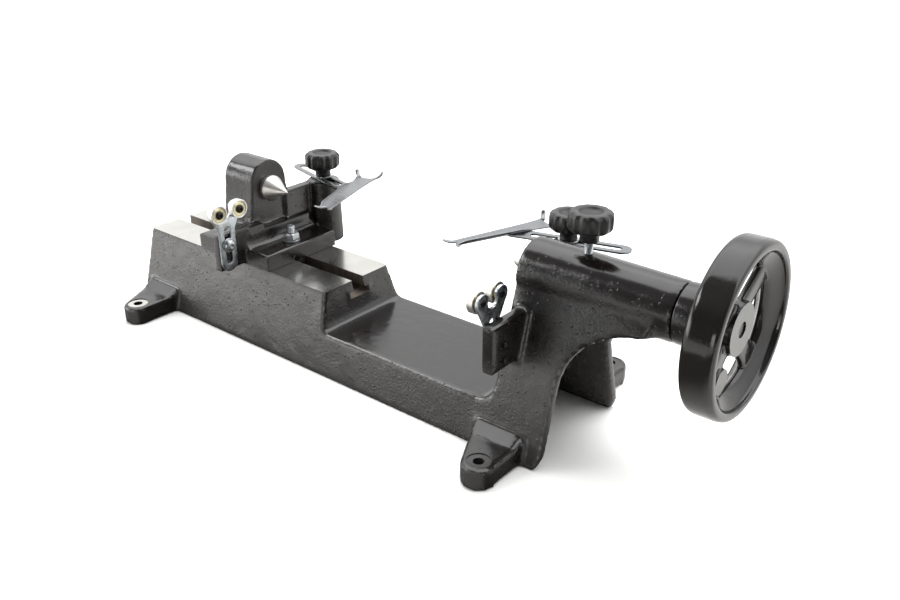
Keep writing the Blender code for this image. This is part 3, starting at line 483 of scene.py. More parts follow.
enamel = gloss_black_enamel()
ground_iron = ground_grey_iron()
slot_iron = milled_slot_iron()
bed_mesh = machined(as_cast(merged_copy("bed_casting"), bed_stock(), BED_VOXEL, 6), bed_cuts())
shown("bed", "bed_casting", bed_mesh, "frame", "black_enamel", enamel, ground_iron, slot_iron)
bed_mesh.polygons.foreach_set("material_index", np.zeros(len(bed_mesh.polygons), np.int32))
paint_faces(bed_mesh, 2, lambda c, n: (abs(c[:, 1]) < 0.0157) & (c[:, 2] > 0.0609)
            & (c[:, 2] < WAYS_HEIGHT) & (c[:, 0] < WAYS_RIGHT + 0.02) & (n[:, 0] < 0.5))
paint_faces(bed_mesh, 1, lambda c, n: (abs(c[:, 2] - WAYS_HEIGHT) < FLAT) & (n[:, 2] > 0.99))
# painted highlight: only the left pair of foot seats gets bright ground iron, the right pair stays
# enamel
paint_faces(bed_mesh, 1, lambda c, n: (abs(c[:, 2] - 0.0222) < FLAT) & (n[:, 2] > 0.99)
            & (c[:, 0] < 0))

# ---------------------------------------------------------------- headstock
# A second enamelled casting that slides on the ways: base, clamping flange, round-topped head,
# an ear at the front and a post at the back. Its underside is milled and its bore is reamed.
HEAD_VOXEL = 0.0016
BASE_UNDERSIDE = WAYS_HEIGHT + 0.0003
BASE_LEFT = WAYS_LEFT + 0.105
BASE_RIGHT = WAYS_LEFT + 0.230


def headstock_stock():
    """Extra metal under the base, in the bores, and round the post and the head's top."""
    left = WAYS_LEFT
    stock = [block((BASE_LEFT, -0.053, BASE_UNDERSIDE - 0.006), (left + 0.199, 0.057, 0.1000))]
    stock.append(block((left + 0.190, -0.0525, BASE_UNDERSIDE - 0.006),
                       (BASE_RIGHT, 0.0565, 0.1000)))
    stock.append(rod(left + 0.1312, 0, AXIS_HEIGHT, 0.014, 0.0496, (1, 0, 0)))
    stock.append(rod(left + 0.2135, 0, 0.0950, 0.008, 0.0148, (0, 0, 1)))
    stock.append(block((left + 0.1810, -0.0450, 0.1000), (left + 0.1940, 0.0500, 0.1270)))
    stock.append(rod(left + 0.190, 0.080, 0.0842, 0.0216, 0.0783, (0, 0, 1), 0.0196))
    return stock


def headstock_cuts():
    """The milled underside, the centre's bore and the clamp bolt's hole."""
    left = WAYS_LEFT
    low = BASE_UNDERSIDE
    cuts = [[block((BASE_LEFT - 0.01, -0.0565, low - 0.02), (BASE_RIGHT + 0.01, 0.0580, low))]]
    cuts.append([rod(left + 0.120, 0, AXIS_HEIGHT, 0.0103, 0.07, (1, 0, 0))])
    cuts.append([rod(left + 0.2135, 0, 0.080, 0.0055, 0.05, (0, 0, 1))])
    return cuts


head_mesh = machined(as_cast(merged_copy("headstock_casting"), headstock_stock(), HEAD_VOXEL, 4),
                     headstock_cuts())
shown("headstock", "headstock_casting", head_mesh, "headstock", "black_enamel", enamel, ground_iron)
head_mesh.polygons.foreach_set("material_index", np.zeros(len(head_mesh.polygons), np.int32))
paint_faces(head_mesh, 1, lambda c, n: (abs(c[:, 2] - BASE_UNDERSIDE) < FLAT)
            & (n[:, 2] < -0.99))

tongue = shown("guide_tongue", None, mesh_of("tongue", [block(
    (BASE_LEFT + 0.004, -0.0087, WAYS_HEIGHT - 0.007),
    (BASE_RIGHT - 0.004, 0.0087, BASE_UNDERSIDE))]),
    "headstock", "black_enamel", slot_iron)
ease = tongue.modifiers.new("ease", "BEVEL")
ease.width = 0.0004
ease.segments = 2

# ---------------------------------------------------------------- centres
# Two 60-degree dead centres, turned and ground from bright steel. The left one is pressed
# through the head, the right one sits in the quill.
CENTRE_RADIUS = 0.0155
CENTRE_CONE = 0.0268
TIP = [(0, -0.0002), (0.00012, -0.0002)]


def rounded(profile, ease, steps=3):
    """A (radius, height) line with each inner corner replaced by a short curve of size ease."""
    points = [np.array(p, float) for p in profile]
    line = [points[0]]
    for before, corner, after in zip(points, points[1:], points[2:]):
        back, ahead = before - corner, after - corner
        cut_back = min(ease, 0.45 * np.linalg.norm(back)) / max(np.linalg.norm(back), 1e-9)
        cut_ahead = min(ease, 0.45 * np.linalg.norm(ahead)) / max(np.linalg.norm(ahead), 1e-9)
        start, end = corner + back * cut_back, corner + ahead * cut_ahead
        for t in np.linspace(0, 1, steps + 1):
            line.append((1 - t) ** 2 * start + 2 * t * (1 - t) * corner + t ** 2 * end)
    return line + [points[-1]]


def turned_bright_steel(axis_name):
    """Lathe-turned steel: bright and satin, with fine tool rings round its axis, 0.3 mm apart."""
    material, tree, shader, place = new_material("turned_bright_steel_" + axis_name)
    ring_scale = (3300.0, 0.0, 0.0) if axis_name == "x" else (0.0, 0.0, 3300.0)
    rings = add(tree, "ShaderNodeMapping", {"Vector": place, "Scale": ring_scale})
    marks = add(tree, "ShaderNodeTexNoise", {"Vector": rings.outputs[0], "Scale": 1.0,
                                             "Detail": 2.0}).outputs["Fac"]
    smear = add(tree, "ShaderNodeTexNoise", {"Vector": place, "Scale": 150.0, "Detail": 2.0})
    dress(tree, shader, (smear.outputs["Fac"], "#ebe9e4", "#cfccc6"), (marks, 0.30, 0.45),
          [(marks, 0.00002, 0.4)], Metallic=1.0)
    return material


def turned(name, node, body, slot, material, profile, place, axis=(0, 0, 1), steps=96, shape=None,
           sharp=32):
    """Turn a profile about an axis line and show it."""
    mesh = mesh_of(name, [lathe(profile, place, axis, steps, shape)])
    shown(name, node, mesh, body, slot, material, sharp=sharp)


steel_x = turned_bright_steel("x")
steel_z = turned_bright_steel("z")
left_profile = [(0, 0), (CENTRE_RADIUS, -CENTRE_CONE), (CENTRE_RADIUS, -0.0322),
                (0.0100, -0.0322), (0.0100, -0.0720), (0.0088, -0.0725), (0, -0.0725)]
turned("left_centre", "headstock_centre", "headstock", "bright_steel", steel_x,
       TIP + rounded(left_profile, 0.0004)[1:], (WAYS_LEFT + 0.2135, 0, AXIS_HEIGHT), (1, 0, 0),
       128)
shoulder = -CENTRE_CONE + 0.0003
right_profile = [(0, 0), (CENTRE_RADIUS, shoulder), (0.0085, shoulder),
                 (0.0085, -CENTRE_CONE - 0.020), (0, -CENTRE_CONE - 0.020)]
turned("right_centre", "quill_centre", "quill", "bright_steel", steel_x,
       TIP + rounded(right_profile, 0.0004)[1:],
       (WAYS_LEFT + 0.5648 - CENTRE_CONE, 0, AXIS_HEIGHT), (-1, 0, 0), 128)

# ---------------------------------------------------------------- clamp stud and nut
# An M10 zinc-plated stud comes up through the slot and the flange, with a plain washer and a
# hexagon nut that is chamfered on both faces.
CLAMP_X = WAYS_LEFT + 0.2135
FLANGE_TOP = 0.110


def thread(radius, pitch, depth):
    """Radius rule for a thread: a triangle wave of depth that climbs one pitch each turn."""
    def shape(r, angle, height):
        turn = np.mod(height / pitch - angle / (2 * math.pi), 1.0)
        groove = depth * np.clip(1 - np.abs(turn - 0.5) * 2.6, 0, 1)
        return np.where(r > radius * 0.9, np.minimum(r, radius - groove), r)
    return shape


def hexagon(across_flats, chamfer_low, chamfer_high):
    """Radius rule for a hexagon whose corners are turned off by 30-degree cones at both ends."""
    def shape(r, angle, height):
        side = np.mod(angle + math.pi / 6, math.pi / 3) - math.pi / 6
        flat = across_flats / 2 / np.cos(side)
        end = np.minimum(height - chamfer_low, chamfer_high - height)
        cone = across_flats / 2 * 0.98 + 1.7 * end
        return np.where(r > across_flats * 0.4, np.minimum(flat, np.maximum(cone, 0)), r)
    return shape


def threaded_rod(x, y, low, high, radius, pitch):
    """A threaded rod standing on Z with a small chamfer at its upper end."""
    heights = np.linspace(0, high - low, int((high - low) / pitch * 8))
    profile = [(0, 0)] + [(radius, h) for h in heights[:-6]]
    profile += [(radius * 0.86, high - low), (0, high - low)]
    return lathe(profile, (x, y, low), (0, 0, 1), 48, thread(radius, pitch, pitch * 0.55))


def zinc_plated_steel(name, light, dark, streak):
    """Electro-zinc over pressed steel: bluish, softly mottled, with faint rolling lines along X."""
    material, tree, shader, place = new_material(name)
    mottle = add(tree, "ShaderNodeTexNoise", {"Vector": place, "Scale": 220.0, "Detail": 4.0})
    along = add(tree, "ShaderNodeMapping", {"Vector": place, "Scale": streak})
    lines = add(tree, "ShaderNodeTexNoise", {"Vector": along.outputs[0], "Scale": 1.0,
                                             "Detail": 2.0}).outputs["Fac"]
    dress(tree, shader, (lines, light, dark), (mottle.outputs["Fac"], 0.22, 0.40),
          [(lines, 0.00004, 0.4)], Metallic=1.0)
    return material


zinc = zinc_plated_steel("bright_zinc_plate", "#c4c8ca", "#a3a7a9", (300.0, 300.0, 300.0))
shown("clamp_stud", "clamp_bolt", mesh_of("clamp_stud", [threaded_rod(
    CLAMP_X, 0, 0.0720, 0.1290, 0.0050, 0.0015)]), "headstock", "zinc_plate", zinc)
turned("clamp_bolt_head", None, "headstock", "zinc_plate", zinc,
       rounded([(0, 0), (0.0085, 0), (0.0085, 0.0064), (0, 0.0064)], 0.0003),
       (CLAMP_X, 0, 0.0653), shape=hexagon(0.0163, 0, 0.0064))


def plain_washer(name, node, body, hole, radius, thick, place, axis=(0, 0, 1)):
    """A punched zinc-plated ring with eased edges."""
    ring = [(hole, 0), (radius, 0), (radius, thick), (hole, thick), (hole, 0)]
    turned(name, node, body, "zinc_plate", zinc, rounded(ring, 0.0003), place, axis)


plain_washer("clamp_washer_ring", "clamp_washer", "headstock", 0.0053, 0.0105, 0.0019,
             (CLAMP_X, 0, FLANGE_TOP + 0.0003))
nut_profile = [(0.0052, 0), (0.0085, 0), (0.0098, 0.0008), (0.0098, 0.0020), (0.0098, 0.0060),
               (0.0098, 0.0072), (0.0085, 0.0080), (0.0052, 0.0080), (0.0046, 0.0074),
               (0.0046, 0.0006), (0.0052, 0)]
turned("clamp_nut_hex", "clamp_nut", "clamp_nut", "zinc_plate", zinc, nut_profile,
       (CLAMP_X, 0, FLANGE_TOP + 0.0026), shape=hexagon(0.017, 0, 0.0080))

# ---------------------------------------------------------------- roller rests
# Each rest is a Y-shaped plate punched from 3 mm zinc-plated steel, with two shielded ball
# bearings on black button-head screws. Slots let both plates move up and down.
ROLLER_RADIUS = 0.011


def oil_blackened_steel():
    """Chemically blackened screw steel: almost black, satin, with a fine brownish grain."""
    material, tree, shader, place = new_material("oil_blackened_steel")
    grain = add(tree, "ShaderNodeTexNoise", {"Vector": place, "Scale": 700.0,
                                             "Detail": 3.0}).outputs["Fac"]
    dress(tree, shader, (grain, "#26241f", "#3b3733"), (grain, 0.25, 0.45), Metallic=0.9)
    return material


def yellow_zinc_shield():
    """Yellow-chromated bearing shield: thin pressed steel with a straw-gold iridescence."""
    material, tree, shader, place = new_material("yellow_zinc_shield")
    wash = add(tree, "ShaderNodeTexNoise", {"Vector": place, "Scale": 130.0, "Detail": 3.0})
    dress(tree, shader, (wash.outputs["Fac"], "#eae5cc", "#d4ca9c"), Metallic=1.0, Roughness=0.3)
    return material


def eased_plate(node, name, body, width, slot, *materials):
    """A merged copy of a CAD plate with its punched edges eased by a small bevel."""
    flat = finished(merged_copy(node), ("DECIMATE", {"decimate_type": "DISSOLVE",
                                                     "angle_limit": math.radians(1)}),
                    ("BEVEL", {"width": width, "segments": 3, "limit_method": "ANGLE",
                               "angle_limit": math.radians(40), "harden_normals": False}),
                    ("TRIANGULATE", {}))
    shown(name, node, flat, body, slot, *materials)


black_steel = oil_blackened_steel()
shield_finish = yellow_zinc_shield()
pressed_zinc = zinc_plated_steel("pressed_zinc_plate", "#d2d8dc", "#b0b7bc", (500.0, 500.0, 60.0))
eased_plate("left_roller_plate", "left_plate", "left_rest", 0.0005, "zinc_plate", pressed_zinc)
eased_plate("right_roller_plate", "right_plate", "right_rest", 0.0005, "zinc_plate", pressed_zinc)


def button_head(radius, height, across_flats, depth, length, thread_radius):
    """Button-head screw as profile and rule: dome, hexagon socket down to depth, and shank."""
    arc = [math.radians(a) for a in (4, 20, 40, 60, 76)]
    profile = [(0, -length), (thread_radius, -length), (thread_radius, 0), (radius, 0)]
    profile += [(radius * math.cos(a) ** 0.75, height * math.sin(a)) for a in arc]
    rim = across_flats * 0.60
    profile += [(rim, height), (rim * 0.98, height), (rim * 0.98, height - depth),
                (0, height - depth)]

    def shape(r, angle, h):
        side = np.mod(angle + math.pi / 6, math.pi / 3) - math.pi / 6
        socket = across_flats / 2 / np.cos(side)
        inner = (np.abs(r - rim * 0.98) < 1e-7) & (h > 0)
        return np.where(inner, socket, r)
    return profile, shape


def bearing(side, end_name, face, out, y, z):
    """One roller: outer ring that turns, gold shield and inner ring, and its button screw."""
    name = f"{side}_{end_name}"
    width = 0.0070
    start = (face + out * 0.0015, y, z)
    axis = (out, 0, 0)
    ring = [(0.0086, 0.0004), (0.0096, 0), (0.0106, 0), (ROLLER_RADIUS, 0.0005),
            (ROLLER_RADIUS, width - 0.0005), (0.0106, width), (0.0096, width),
            (0.0092, width - 0.0006), (0.0086, width - 0.0007), (0.0086, 0.0004)]
    turned(name + "_bearing_ring", name + "_roller", name + "_roller", "bright_steel", steel_x,
           ring, start, axis)
    hub = [(0.0034, -0.0012), (0.0060, -0.0012), (0.0060, 0.0003), (0.0083, 0.0004),
           (0.0083, 0.0040), (0.0083, width - 0.0010), (0.0078, width - 0.0006),
           (0.0066, width - 0.0007), (0.0062, width - 0.0011), (0.0058, width - 0.0004),
           (0.0034, width - 0.0004), (0.0034, -0.0012)]
    turned(name + "_shield", name + "_roller_hub", f"{side}_rest", "zinc_plate", shield_finish,
           hub, start, axis)
    profile, shape = button_head(0.0050, 0.0027, 0.0042, 0.0020, 0.0124, 0.0030)
    turned(name + "_button_screw", name + "_axle_screw", f"{side}_rest", "black_oxide",
           black_steel, profile, (start[0] + out * (width - 0.0001), y, z), axis, 72, shape)


LEFT_FACE = WAYS_LEFT + 0.1963
RIGHT_FACE = WAYS_LEFT + 0.5657
LEFT_REST_Y = -0.0793
RIGHT_REST_Y = -0.0740
LEFT_BOLT_Z = 0.1245
for end_name, offset in (("front", -0.01425), ("back", 0.01425)):
    bearing("left", end_name, LEFT_FACE, 1, LEFT_REST_Y + offset, 0.166)
    bearing("right", end_name, RIGHT_FACE, -1, RIGHT_REST_Y + offset, 0.1645)

plain_washer("left_rest_washer", "left_plate_washer", "headstock", 0.0042, 0.0083, 0.0016,
             (LEFT_FACE + 0.0003, LEFT_REST_Y, LEFT_BOLT_Z), (1, 0, 0))
profile, shape = button_head(0.0070, 0.0046, 0.0050, 0.0026, 0.0178, 0.0040)
turned("left_rest_bolt", "left_plate_bolt", "headstock", "zinc_plate", zinc, profile,
       (LEFT_FACE + 0.0022, LEFT_REST_Y, LEFT_BOLT_Z), (1, 0, 0), 72, shape)
tip = rounded([(0, 0), (0.0030, 0), (0.0030, -0.0040), (0.0016, -0.0052), (0, -0.0054)], 0.0010)
profile, shape = button_head(0.0064, 0.0040, 0.0040, 0.0022, 0.0190, 0.0030)
for place, z in (("lower", 0.1055), ("upper", 0.1225)):
    turned(f"right_rest_{place}_screw_end", None, "frame", "black_oxide", black_steel, tip,
           (WAYS_LEFT + 0.5810, RIGHT_REST_Y, z), (-1, 0, 0), 48)
    turned(f"right_rest_{place}_screw", f"right_{place}_screw", "frame", "black_oxide", black_steel,
           profile, (RIGHT_FACE - 0.0003, RIGHT_REST_Y, z), (-1, 0, 0), 72, shape)

# ---------------------------------------------------------------- rest arms
# Slotted strips of zinc-plated steel, 2.5 mm thick, each with a fishtail saddle folded on its
# end. Horns at the saddle's corners are bent up and rounded off.
ARM_THICK = 0.0025
POST_Y = 0.080
POSTS = (("left", WAYS_LEFT + 0.190, 0.1625), ("right", WAYS_LEFT + 0.551, 0.1670))
ARM_NEAR = np.array((0.1048, -0.0548))
ARM_FAR = np.array((0.0343, 0.0436))


def place_arm(points, post_x, base, mirror):
    """Turn arm coordinates by -15 degrees, mirror them for the right arm, lay them on a post."""
    turn = math.radians(-15)
    x = points[..., 0] * math.cos(turn) - points[..., 1] * math.sin(turn)
    y = points[..., 0] * math.sin(turn) + points[..., 1] * math.cos(turn)
    return np.stack([post_x + mirror * x, POST_Y + y, base + points[..., 2]], axis=-1)


def stadium(left, right, half, turn):
    """Outline with round ends: a point of a circle whose centre slides left or right."""
    centre = np.where(np.cos(turn) > 0, right, left)
    return np.stack([centre + half * np.cos(turn), half * np.sin(turn)], axis=-1)


def slotted_strip(count=96):
    """The strip: a ring sheet spanned between its slot outline and its outer outline."""
    turn = np.linspace(0, 2 * math.pi, count, endpoint=False) + 0.01
    outer = stadium(-0.0560, 0.0590, 0.0105, turn)
    slot = stadium(-0.0520, 0.0370, 0.0044, turn)
    share = np.linspace(0, 1, 5)[:, None, None]
    flat = slot + (outer - slot) * share
    return np.concatenate([flat, np.full(flat.shape[:2] + (1,), ARM_THICK / 2)], axis=-1)


def along_saddle(s, t, edge):
    """Saddle coordinates: s from the near tip to the far end, t across it, edge its half width."""
    length = np.linalg.norm(ARM_FAR - ARM_NEAR)
    run = (ARM_FAR - ARM_NEAR) / length
    across = np.array((run[1], -run[0]))
    x = ARM_NEAR[0] + run[0] * s * length + across[0] * t * edge
    y = ARM_NEAR[1] + run[1] * s * length + across[1] * t * edge
    return x, y


def half_width(s):
    """Half the saddle's width: a straight taper that flares out over its last fifth."""
    return 0.0062 + 0.0050 * s + 0.0033 * s ** 9


def saddle(rows=72, columns=24):
    """Fishtail sheet: its ends are hollowed by 1 - t squared, and it sags as a shallow trough."""
    s, t = np.meshgrid(np.linspace(0, 1, rows), np.linspace(-1, 1, columns), indexing="ij")
    far_hollow = 0.040 * (1 - t ** 2) * np.clip((s - 0.75) / 0.25, 0, 1) ** 2
    near_hollow = 0.020 * (1 - t ** 2) * np.clip((0.15 - s) / 0.15, 0, 1) ** 2
    x, y = along_saddle(s - far_hollow + near_hollow, t, half_width(s))
    trough = 0.0021 - 0.0004 * (1 - t ** 2)
    return np.stack([x, y, trough], axis=-1)


def folded_lip(rows=56, columns=12):
    """The flange on the saddle's inner edge: a quarter bend that carries on as a straight leaning
    web, low at the near tip and run out again past the strip."""
    s, f = np.meshgrid(np.linspace(0.0, 0.80, rows), np.linspace(0, 1, columns), indexing="ij")
    grow = np.clip(0.35 + s / 0.12, 0, 1) * np.clip((0.82 - s) / 0.20, 0.12, 1)
    out = 0.0030 * grow * np.sin(f * 1.1)
    rise = 0.0046 * grow * (1 - np.cos(f * 1.5))
    x, y = along_saddle(s, -1, half_width(s) - 0.0004 + out)
    return np.stack([x, y, 0.0021 + rise], axis=-1)


def horn(start, end, rise, width=0.0052, thick=0.0028, count=18):
    """A curled tongue: a flat oval carried round a quarter bend, sin out and 1 - cos up, and
    drawn in to a round tip."""
    u = np.linspace(0, 1, count)
    start, end = np.array(start, float), np.array(end, float)
    reach = np.linalg.norm(end - start)
    out = (end - start) / reach
    side = np.array((-out[1], out[0]))
    bend = u * math.radians(85)
    size = np.sqrt(np.clip(1 - np.clip((u - 0.80) / 0.20, 0, 1) ** 2, 0.02, 1))
    ring = np.linspace(0, 2 * math.pi, 20, endpoint=False)
    across = np.outer(size, np.cos(ring)) * width / 2
    through = np.outer(size, np.sin(ring)) * thick / 2
    away = (reach * np.sin(bend))[:, None] - np.sin(bend)[:, None] * through
    height = (rise * (1 - np.cos(bend)))[:, None] + np.cos(bend)[:, None] * through
    x = start[0] + out[0] * away + side[0] * across
    y = start[1] + out[1] * away + side[1] * across
    return np.stack([x, y, 0.0019 + height], axis=-1)


def capped(points):
    """Close the first and last ring of a swept section with a centre point each."""
    first = np.repeat(points[:1].mean(axis=1, keepdims=True), points.shape[1], axis=1)
    last = np.repeat(points[-1:].mean(axis=1, keepdims=True), points.shape[1], axis=1)
    return np.concatenate([first, points, last])


def rest_arm(side, post_x, base, mirror):
    """Strip, saddle, lip and four horns of one arm, joined into a single piece."""
    def thick(points, thickness, closed=False):
        sheet = mesh_of(side, [grid(place_arm(points, post_x, base, mirror), closed)])
        return finished(sheet, ("SOLIDIFY", {"thickness": thickness, "offset": 0}),
                        ("BEVEL", {"width": 0.0003, "segments": 2, "limit_method": "ANGLE",
                                   "angle_limit": math.radians(50)}))

    whole = bmesh.new()
    for mesh in (thick(slotted_strip(), 0.0022, True), thick(saddle(), 0.0015),
                 thick(folded_lip(), 0.0014)):
        whole.from_mesh(mesh)
    horns = [((0.0300, 0.0350), (0.0186, 0.0380), 0.0086),
             ((0.0440, 0.0470), (0.0470, 0.0580), 0.0086),
             ((0.1000, -0.0530), (0.0962, -0.0640), 0.0032),
             ((0.1060, -0.0500), (0.1160, -0.0562), 0.0036)]
    for start, end, rise in horns:
        points = place_arm(capped(horn(start, end, rise)), post_x, base, mirror)
        whole.from_mesh(mesh_of("horn", [grid(points, closed=True)]))
    mesh = bpy.data.meshes.new(side)
    whole.to_mesh(mesh)
    whole.free()
    return mesh


rolled_zinc = zinc_plated_steel("rolled_zinc_sheet", "#8e9092", "#6c6e70", (25.0, 700.0, 700.0))
for (side, post_x, top), mirror in zip(POSTS, (1, -1)):
    shown(f"{side}_rest_arm", f"{side}_arm", rest_arm(side, post_x, top + 0.0003, mirror),
          f"{side}_arm", "zinc_plate", rolled_zinc)

# ---------------------------------------------------------------- knobs
# Three moulded black knobs, 40 mm across: a dished top, twelve scalloped flutes whose upper
# ends cut small facets into the rim, and a short neck.
KNOB_RADIUS = 0.0212


def satin_black_plastic():
    """Moulded black thermoset: deep satin black, greyed a little in random patches of wear."""
    material, tree, shader, place = new_material("satin_black_plastic")
    grain = add(tree, "ShaderNodeTexNoise", {"Vector": place, "Scale": 1500.0, "Detail": 2.0})
    wear = add(tree, "ShaderNodeTexNoise", {"Vector": place, "Scale": 90.0,
                                            "Detail": 4.0}).outputs["Fac"]
    dress(tree, shader, (wear, "#0e0d0d", "#1b1a19"), (wear, 0.26, 0.40),
          [(grain.outputs["Fac"], 0.00003, 0.3)], IOR=1.5)
    return material


def fluted(radius, angle, height):
    """Radius rule for the knob: twelve scallops, deepest where they run out through the chamfer."""
    offset = np.mod(angle + math.radians(15), math.radians(30)) - math.radians(15)
    scallop = np.clip(1 - (offset / math.radians(10.5)) ** 2, 0, 1)
    deep = 0.0014 * np.clip((radius - 0.0172) / 0.0022, 0, 1)
    return radius - deep * scallop


black_plastic = satin_black_plastic()


def knob(name, node, body, x, y, base):
    """One knob standing on base: neck, flared underside, fluted head, rim and dished top."""
    edge = KNOB_RADIUS
    profile = [(0, 0), (0.0088, 0), (0.0092, 0.0004), (0.0092, 0.0080), (0.0100, 0.0092),
               (0.0150, 0.0098), (0.0180, 0.0104), (0.0199, 0.0120), (edge - 0.0003, 0.0138),
               (edge, 0.0152), (edge, 0.0250), (edge - 0.0004, 0.0259), (edge - 0.0020, 0.0278),
               (edge - 0.0026, 0.0283), (edge - 0.0034, 0.0286), (0.0150, 0.0288),
               (0.0126, 0.0287), (0.0117, 0.0283), (0.0110, 0.0274), (0.0096, 0.0262),
               (0.0070, 0.0254), (0, 0.0252)]
    turned(name, node, body, "black_plastic", black_plastic, profile, (x, y, base),
           steps=240, shape=fluted, sharp=50)


LOCK_X = WAYS_LEFT + 0.6215
for side, x, top in POSTS:
    knob(f"{side}_knob", f"{side}_arm_knob", f"{side}_arm_knob", x, POST_Y, top + 0.0050)
    plain_washer(f"{side}_arm_plain_washer", f"{side}_arm_washer", f"{side}_arm_clamp", 0.0043,
                 0.0110, 0.0016, (x, POST_Y, top + 0.0031))
knob("quill_lock_knob", "lock_knob", "quill_lock", LOCK_X, 0, 0.2120)
shown("quill_lock_stud", "lock_stud", mesh_of("lock_stud", [threaded_rod(
    LOCK_X, 0, 0.1902, 0.2127, 0.0040, 0.00125)]), "quill_lock", "zinc_plate", zinc)

# ---------------------------------------------------------------- thrust collar
# A short turned cap at the barrel's right end, enamelled with the bed; a narrow dark joint
# shows between them.
collar = [(0.0076, 0.0001), (0.0285, 0.0001), (0.0285, 0.0232), (0.0076, 0.0232), (0.0076, 0.0001)]
turned("barrel_collar", "thrust_collar", "frame", "black_enamel", enamel,
       rounded(collar, 0.0012, 4), (WAYS_LEFT + 0.7213, 0, AXIS_HEIGHT), (1, 0, 0), 160)

# ---------------------------------------------------------------- handwheel
# A cast wheel, 160 mm across, with a rounded rim, four broad spokes, a faced hub and a small
# lug that could take a crank. It is enamelled thicker and smoother than the bed.
WHEEL_X = WAYS_LEFT + 0.766


def wheel_rim():
    """Rim section: a flat tread with bevelled shoulders, a narrow flat lip at each side, and a
    recess behind the lip that slopes in to a thin inner edge."""
    section = [(0.0800, 0.0105), (0.0800, -0.0080), (0.0790, -0.0112), (0.0765, -0.0128),
               (0.0725, -0.0128), (0.0712, -0.0116), (0.0700, -0.0095), (0.0640, -0.0062),
               (0.0580, -0.0032), (0.0558, -0.0015), (0.0562, 0.0010), (0.0578, 0.0042),
               (0.0600, 0.0058), (0.0650, 0.0088), (0.0690, 0.0114), (0.0700, 0.0126),
               (0.0704, 0.0162), (0.0712, 0.0170), (0.0770, 0.0170), (0.0790, 0.0150),
               (0.0800, 0.0105)]
    return lathe(rounded(section, 0.0009, 3), (WHEEL_X, 0, AXIS_HEIGHT), (1, 0, 0), 240)


def spoke(angle, count=30):
    """A broad spoke: a rounded oblong section that widens towards the hub and the rim."""
    u = np.linspace(0, 1, count)
    reach = 0.012 + 0.049 * u
    half = 0.0108 + 0.0050 * (np.abs(u - 0.50) / 0.50) ** 3
    ring = np.linspace(0, 2 * math.pi, 32, endpoint=False)
    wide = np.sign(np.cos(ring)) * np.abs(np.cos(ring)) ** 0.5
    deep = np.sign(np.sin(ring)) * np.abs(np.sin(ring)) ** 0.5
    across = np.outer(half, wide)
    x = WHEEL_X + (-0.0022 + 0.0030 * u ** 2)[:, None] + 0.0040 * np.outer(np.ones(count), deep)
    y = reach[:, None] * math.cos(angle) - across * math.sin(angle)
    z = AXIS_HEIGHT + reach[:, None] * math.sin(angle) + across * math.cos(angle)
    return grid(capped(np.stack([x, y, z], axis=-1)), closed=True)


def wheel_enamel():
    """The wheel's enamel, dipped rather than brushed: smooth wet black with a faint orange peel."""
    material, tree, shader, place = new_material("dipped_black_enamel")
    swell = add(tree, "ShaderNodeTexNoise", {"Vector": place, "Scale": 70.0,
                                             "Detail": 1.0}).outputs["Fac"]
    peel = add(tree, "ShaderNodeTexNoise", {"Vector": place, "Scale": 420.0,
                                            "Detail": 2.0}).outputs["Fac"]
    dress(tree, shader, (swell, "#0b0a09", "#151211"), (peel, 0.08, 0.18),
          [(swell, 0.0003, 0.5), (peel, 0.00005, 0.4)], IOR=1.55)
    return material


def faced_iron():
    """Faced iron under a thin clear coat: flat satin grey with a few dark pores."""
    material, tree, shader, place = new_material("faced_grey_iron")
    pores = add(tree, "ShaderNodeTexVoronoi", {"Vector": place, "Scale": 420.0})
    clear = add(tree, "ShaderNodeMapRange", {"Value": pores.outputs["Distance"], "From Min": 0.08,
                                             "From Max": 0.16, "To Min": 0.0, "To Max": 1.0})
    dress(tree, shader, (clear.outputs[0], "#3c3b3a", "#6f6f6c"), Roughness=0.42)
    return material


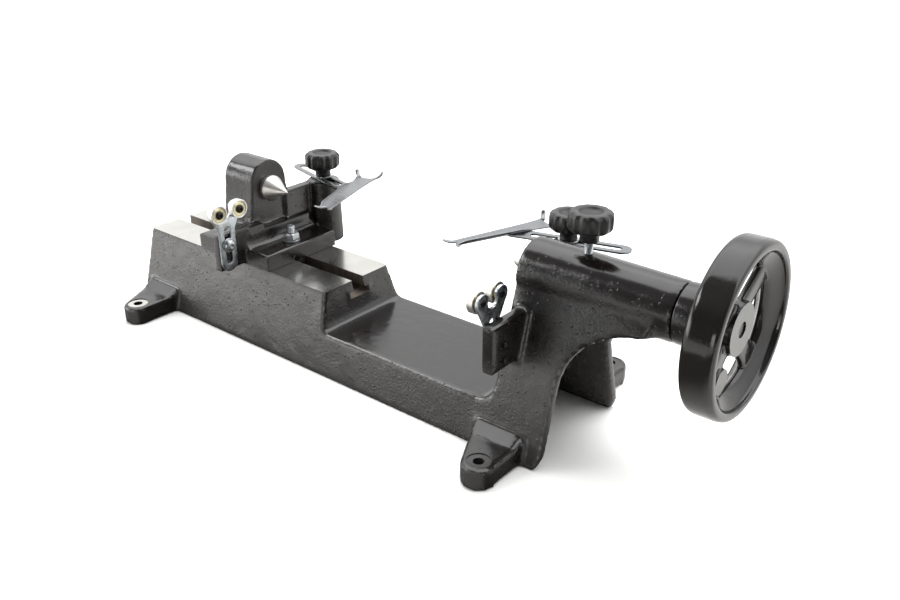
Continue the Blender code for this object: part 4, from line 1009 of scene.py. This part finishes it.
HUB_FACE = 0.0068
LUG_FACE = 0.0048
dipped_enamel = wheel_enamel()
spoke_angles = [math.radians(41 + 90 * i) for i in range(4)]
hub = lathe([(0, -0.0205), (0.0225, -0.0205), (0.0240, -0.0190), (0.0240, 0.0115), (0, 0.0115)],
            (WHEEL_X, 0, AXIS_HEIGHT), (1, 0, 0), 128)
LUG_RADIUS = 0.047
LUG_ANGLE = math.radians(238)
lug_y = LUG_RADIUS * math.cos(LUG_ANGLE)
lug_z = AXIS_HEIGHT + LUG_RADIUS * math.sin(LUG_ANGLE)
lug = lathe([(0, -0.008), (0.0115, -0.008), (0.0115, 0.0112), (0, 0.0112)],
            (WHEEL_X, lug_y, lug_z), (1, 0, 0), 64)
rim_mesh = mesh_of("rim", [wheel_rim()])
wheel_mesh = as_cast(rim_mesh, [hub, lug] + [spoke(a) for a in spoke_angles], 0.0010, 4)
wheel_mesh = machined(wheel_mesh, [
    [rod(WHEEL_X + HUB_FACE, 0, AXIS_HEIGHT, 0.0260, 0.02, (1, 0, 0))],
    [rod(WHEEL_X + LUG_FACE, lug_y, lug_z, 0.0125, 0.02, (1, 0, 0))],
    [rod(WHEEL_X - 0.030, 0, AXIS_HEIGHT, 0.0073, 0.06, (1, 0, 0))]])
shown("wheel", "handwheel", wheel_mesh, "handwheel", "black_enamel", dipped_enamel, faced_iron())
wheel_mesh.polygons.foreach_set("material_index", np.zeros(len(wheel_mesh.polygons), np.int32))
paint_faces(wheel_mesh, 1, lambda c, n: (n[:, 0] > 0.99) & (
    (abs(c[:, 0] - WHEEL_X - HUB_FACE) < FLAT) | (abs(c[:, 0] - WHEEL_X - LUG_FACE) < FLAT)))

# ---------------------------------------------------------------- inner works
# Quill, screw, nuts, key and pads stay as designed and get real finishes; the lead screw gets
# painted shade.
def machined_brass():
    """Turned brass: warm gold with a light tarnish."""
    material, tree, shader, place = new_material("machined_brass")
    tarnish = add(tree, "ShaderNodeTexNoise", {"Vector": place, "Scale": 180.0, "Detail": 3.0})
    dress(tree, shader, (tarnish.outputs["Fac"], "#d9bb6d", "#a8884a"), Metallic=1.0, Roughness=0.3)
    return material


brass = machined_brass()
finishes = {"bright_steel": steel_x, "zinc_plate": zinc, "black_oxide": black_steel, "brass": brass,
            "black_enamel": enamel, "black_plastic": black_plastic}
for row in frame["record"]["subparts"]:
    body_mesh = nodes[row["node"]].data
    body_mesh.materials.clear()
    body_mesh.materials.append(finishes[row["material_slot"]])
# painted shade: the lead screw is coloured dark so that its end in the hub's bore looks dark
shade_dark_screw_steel = zinc_plated_steel("screw_steel_painted_shade", "#55524d", "#35322e", (300.0, 300.0, 300.0))
nodes["lead_screw"].data.materials.clear()
nodes["lead_screw"].data.materials.append(shade_dark_screw_steel)
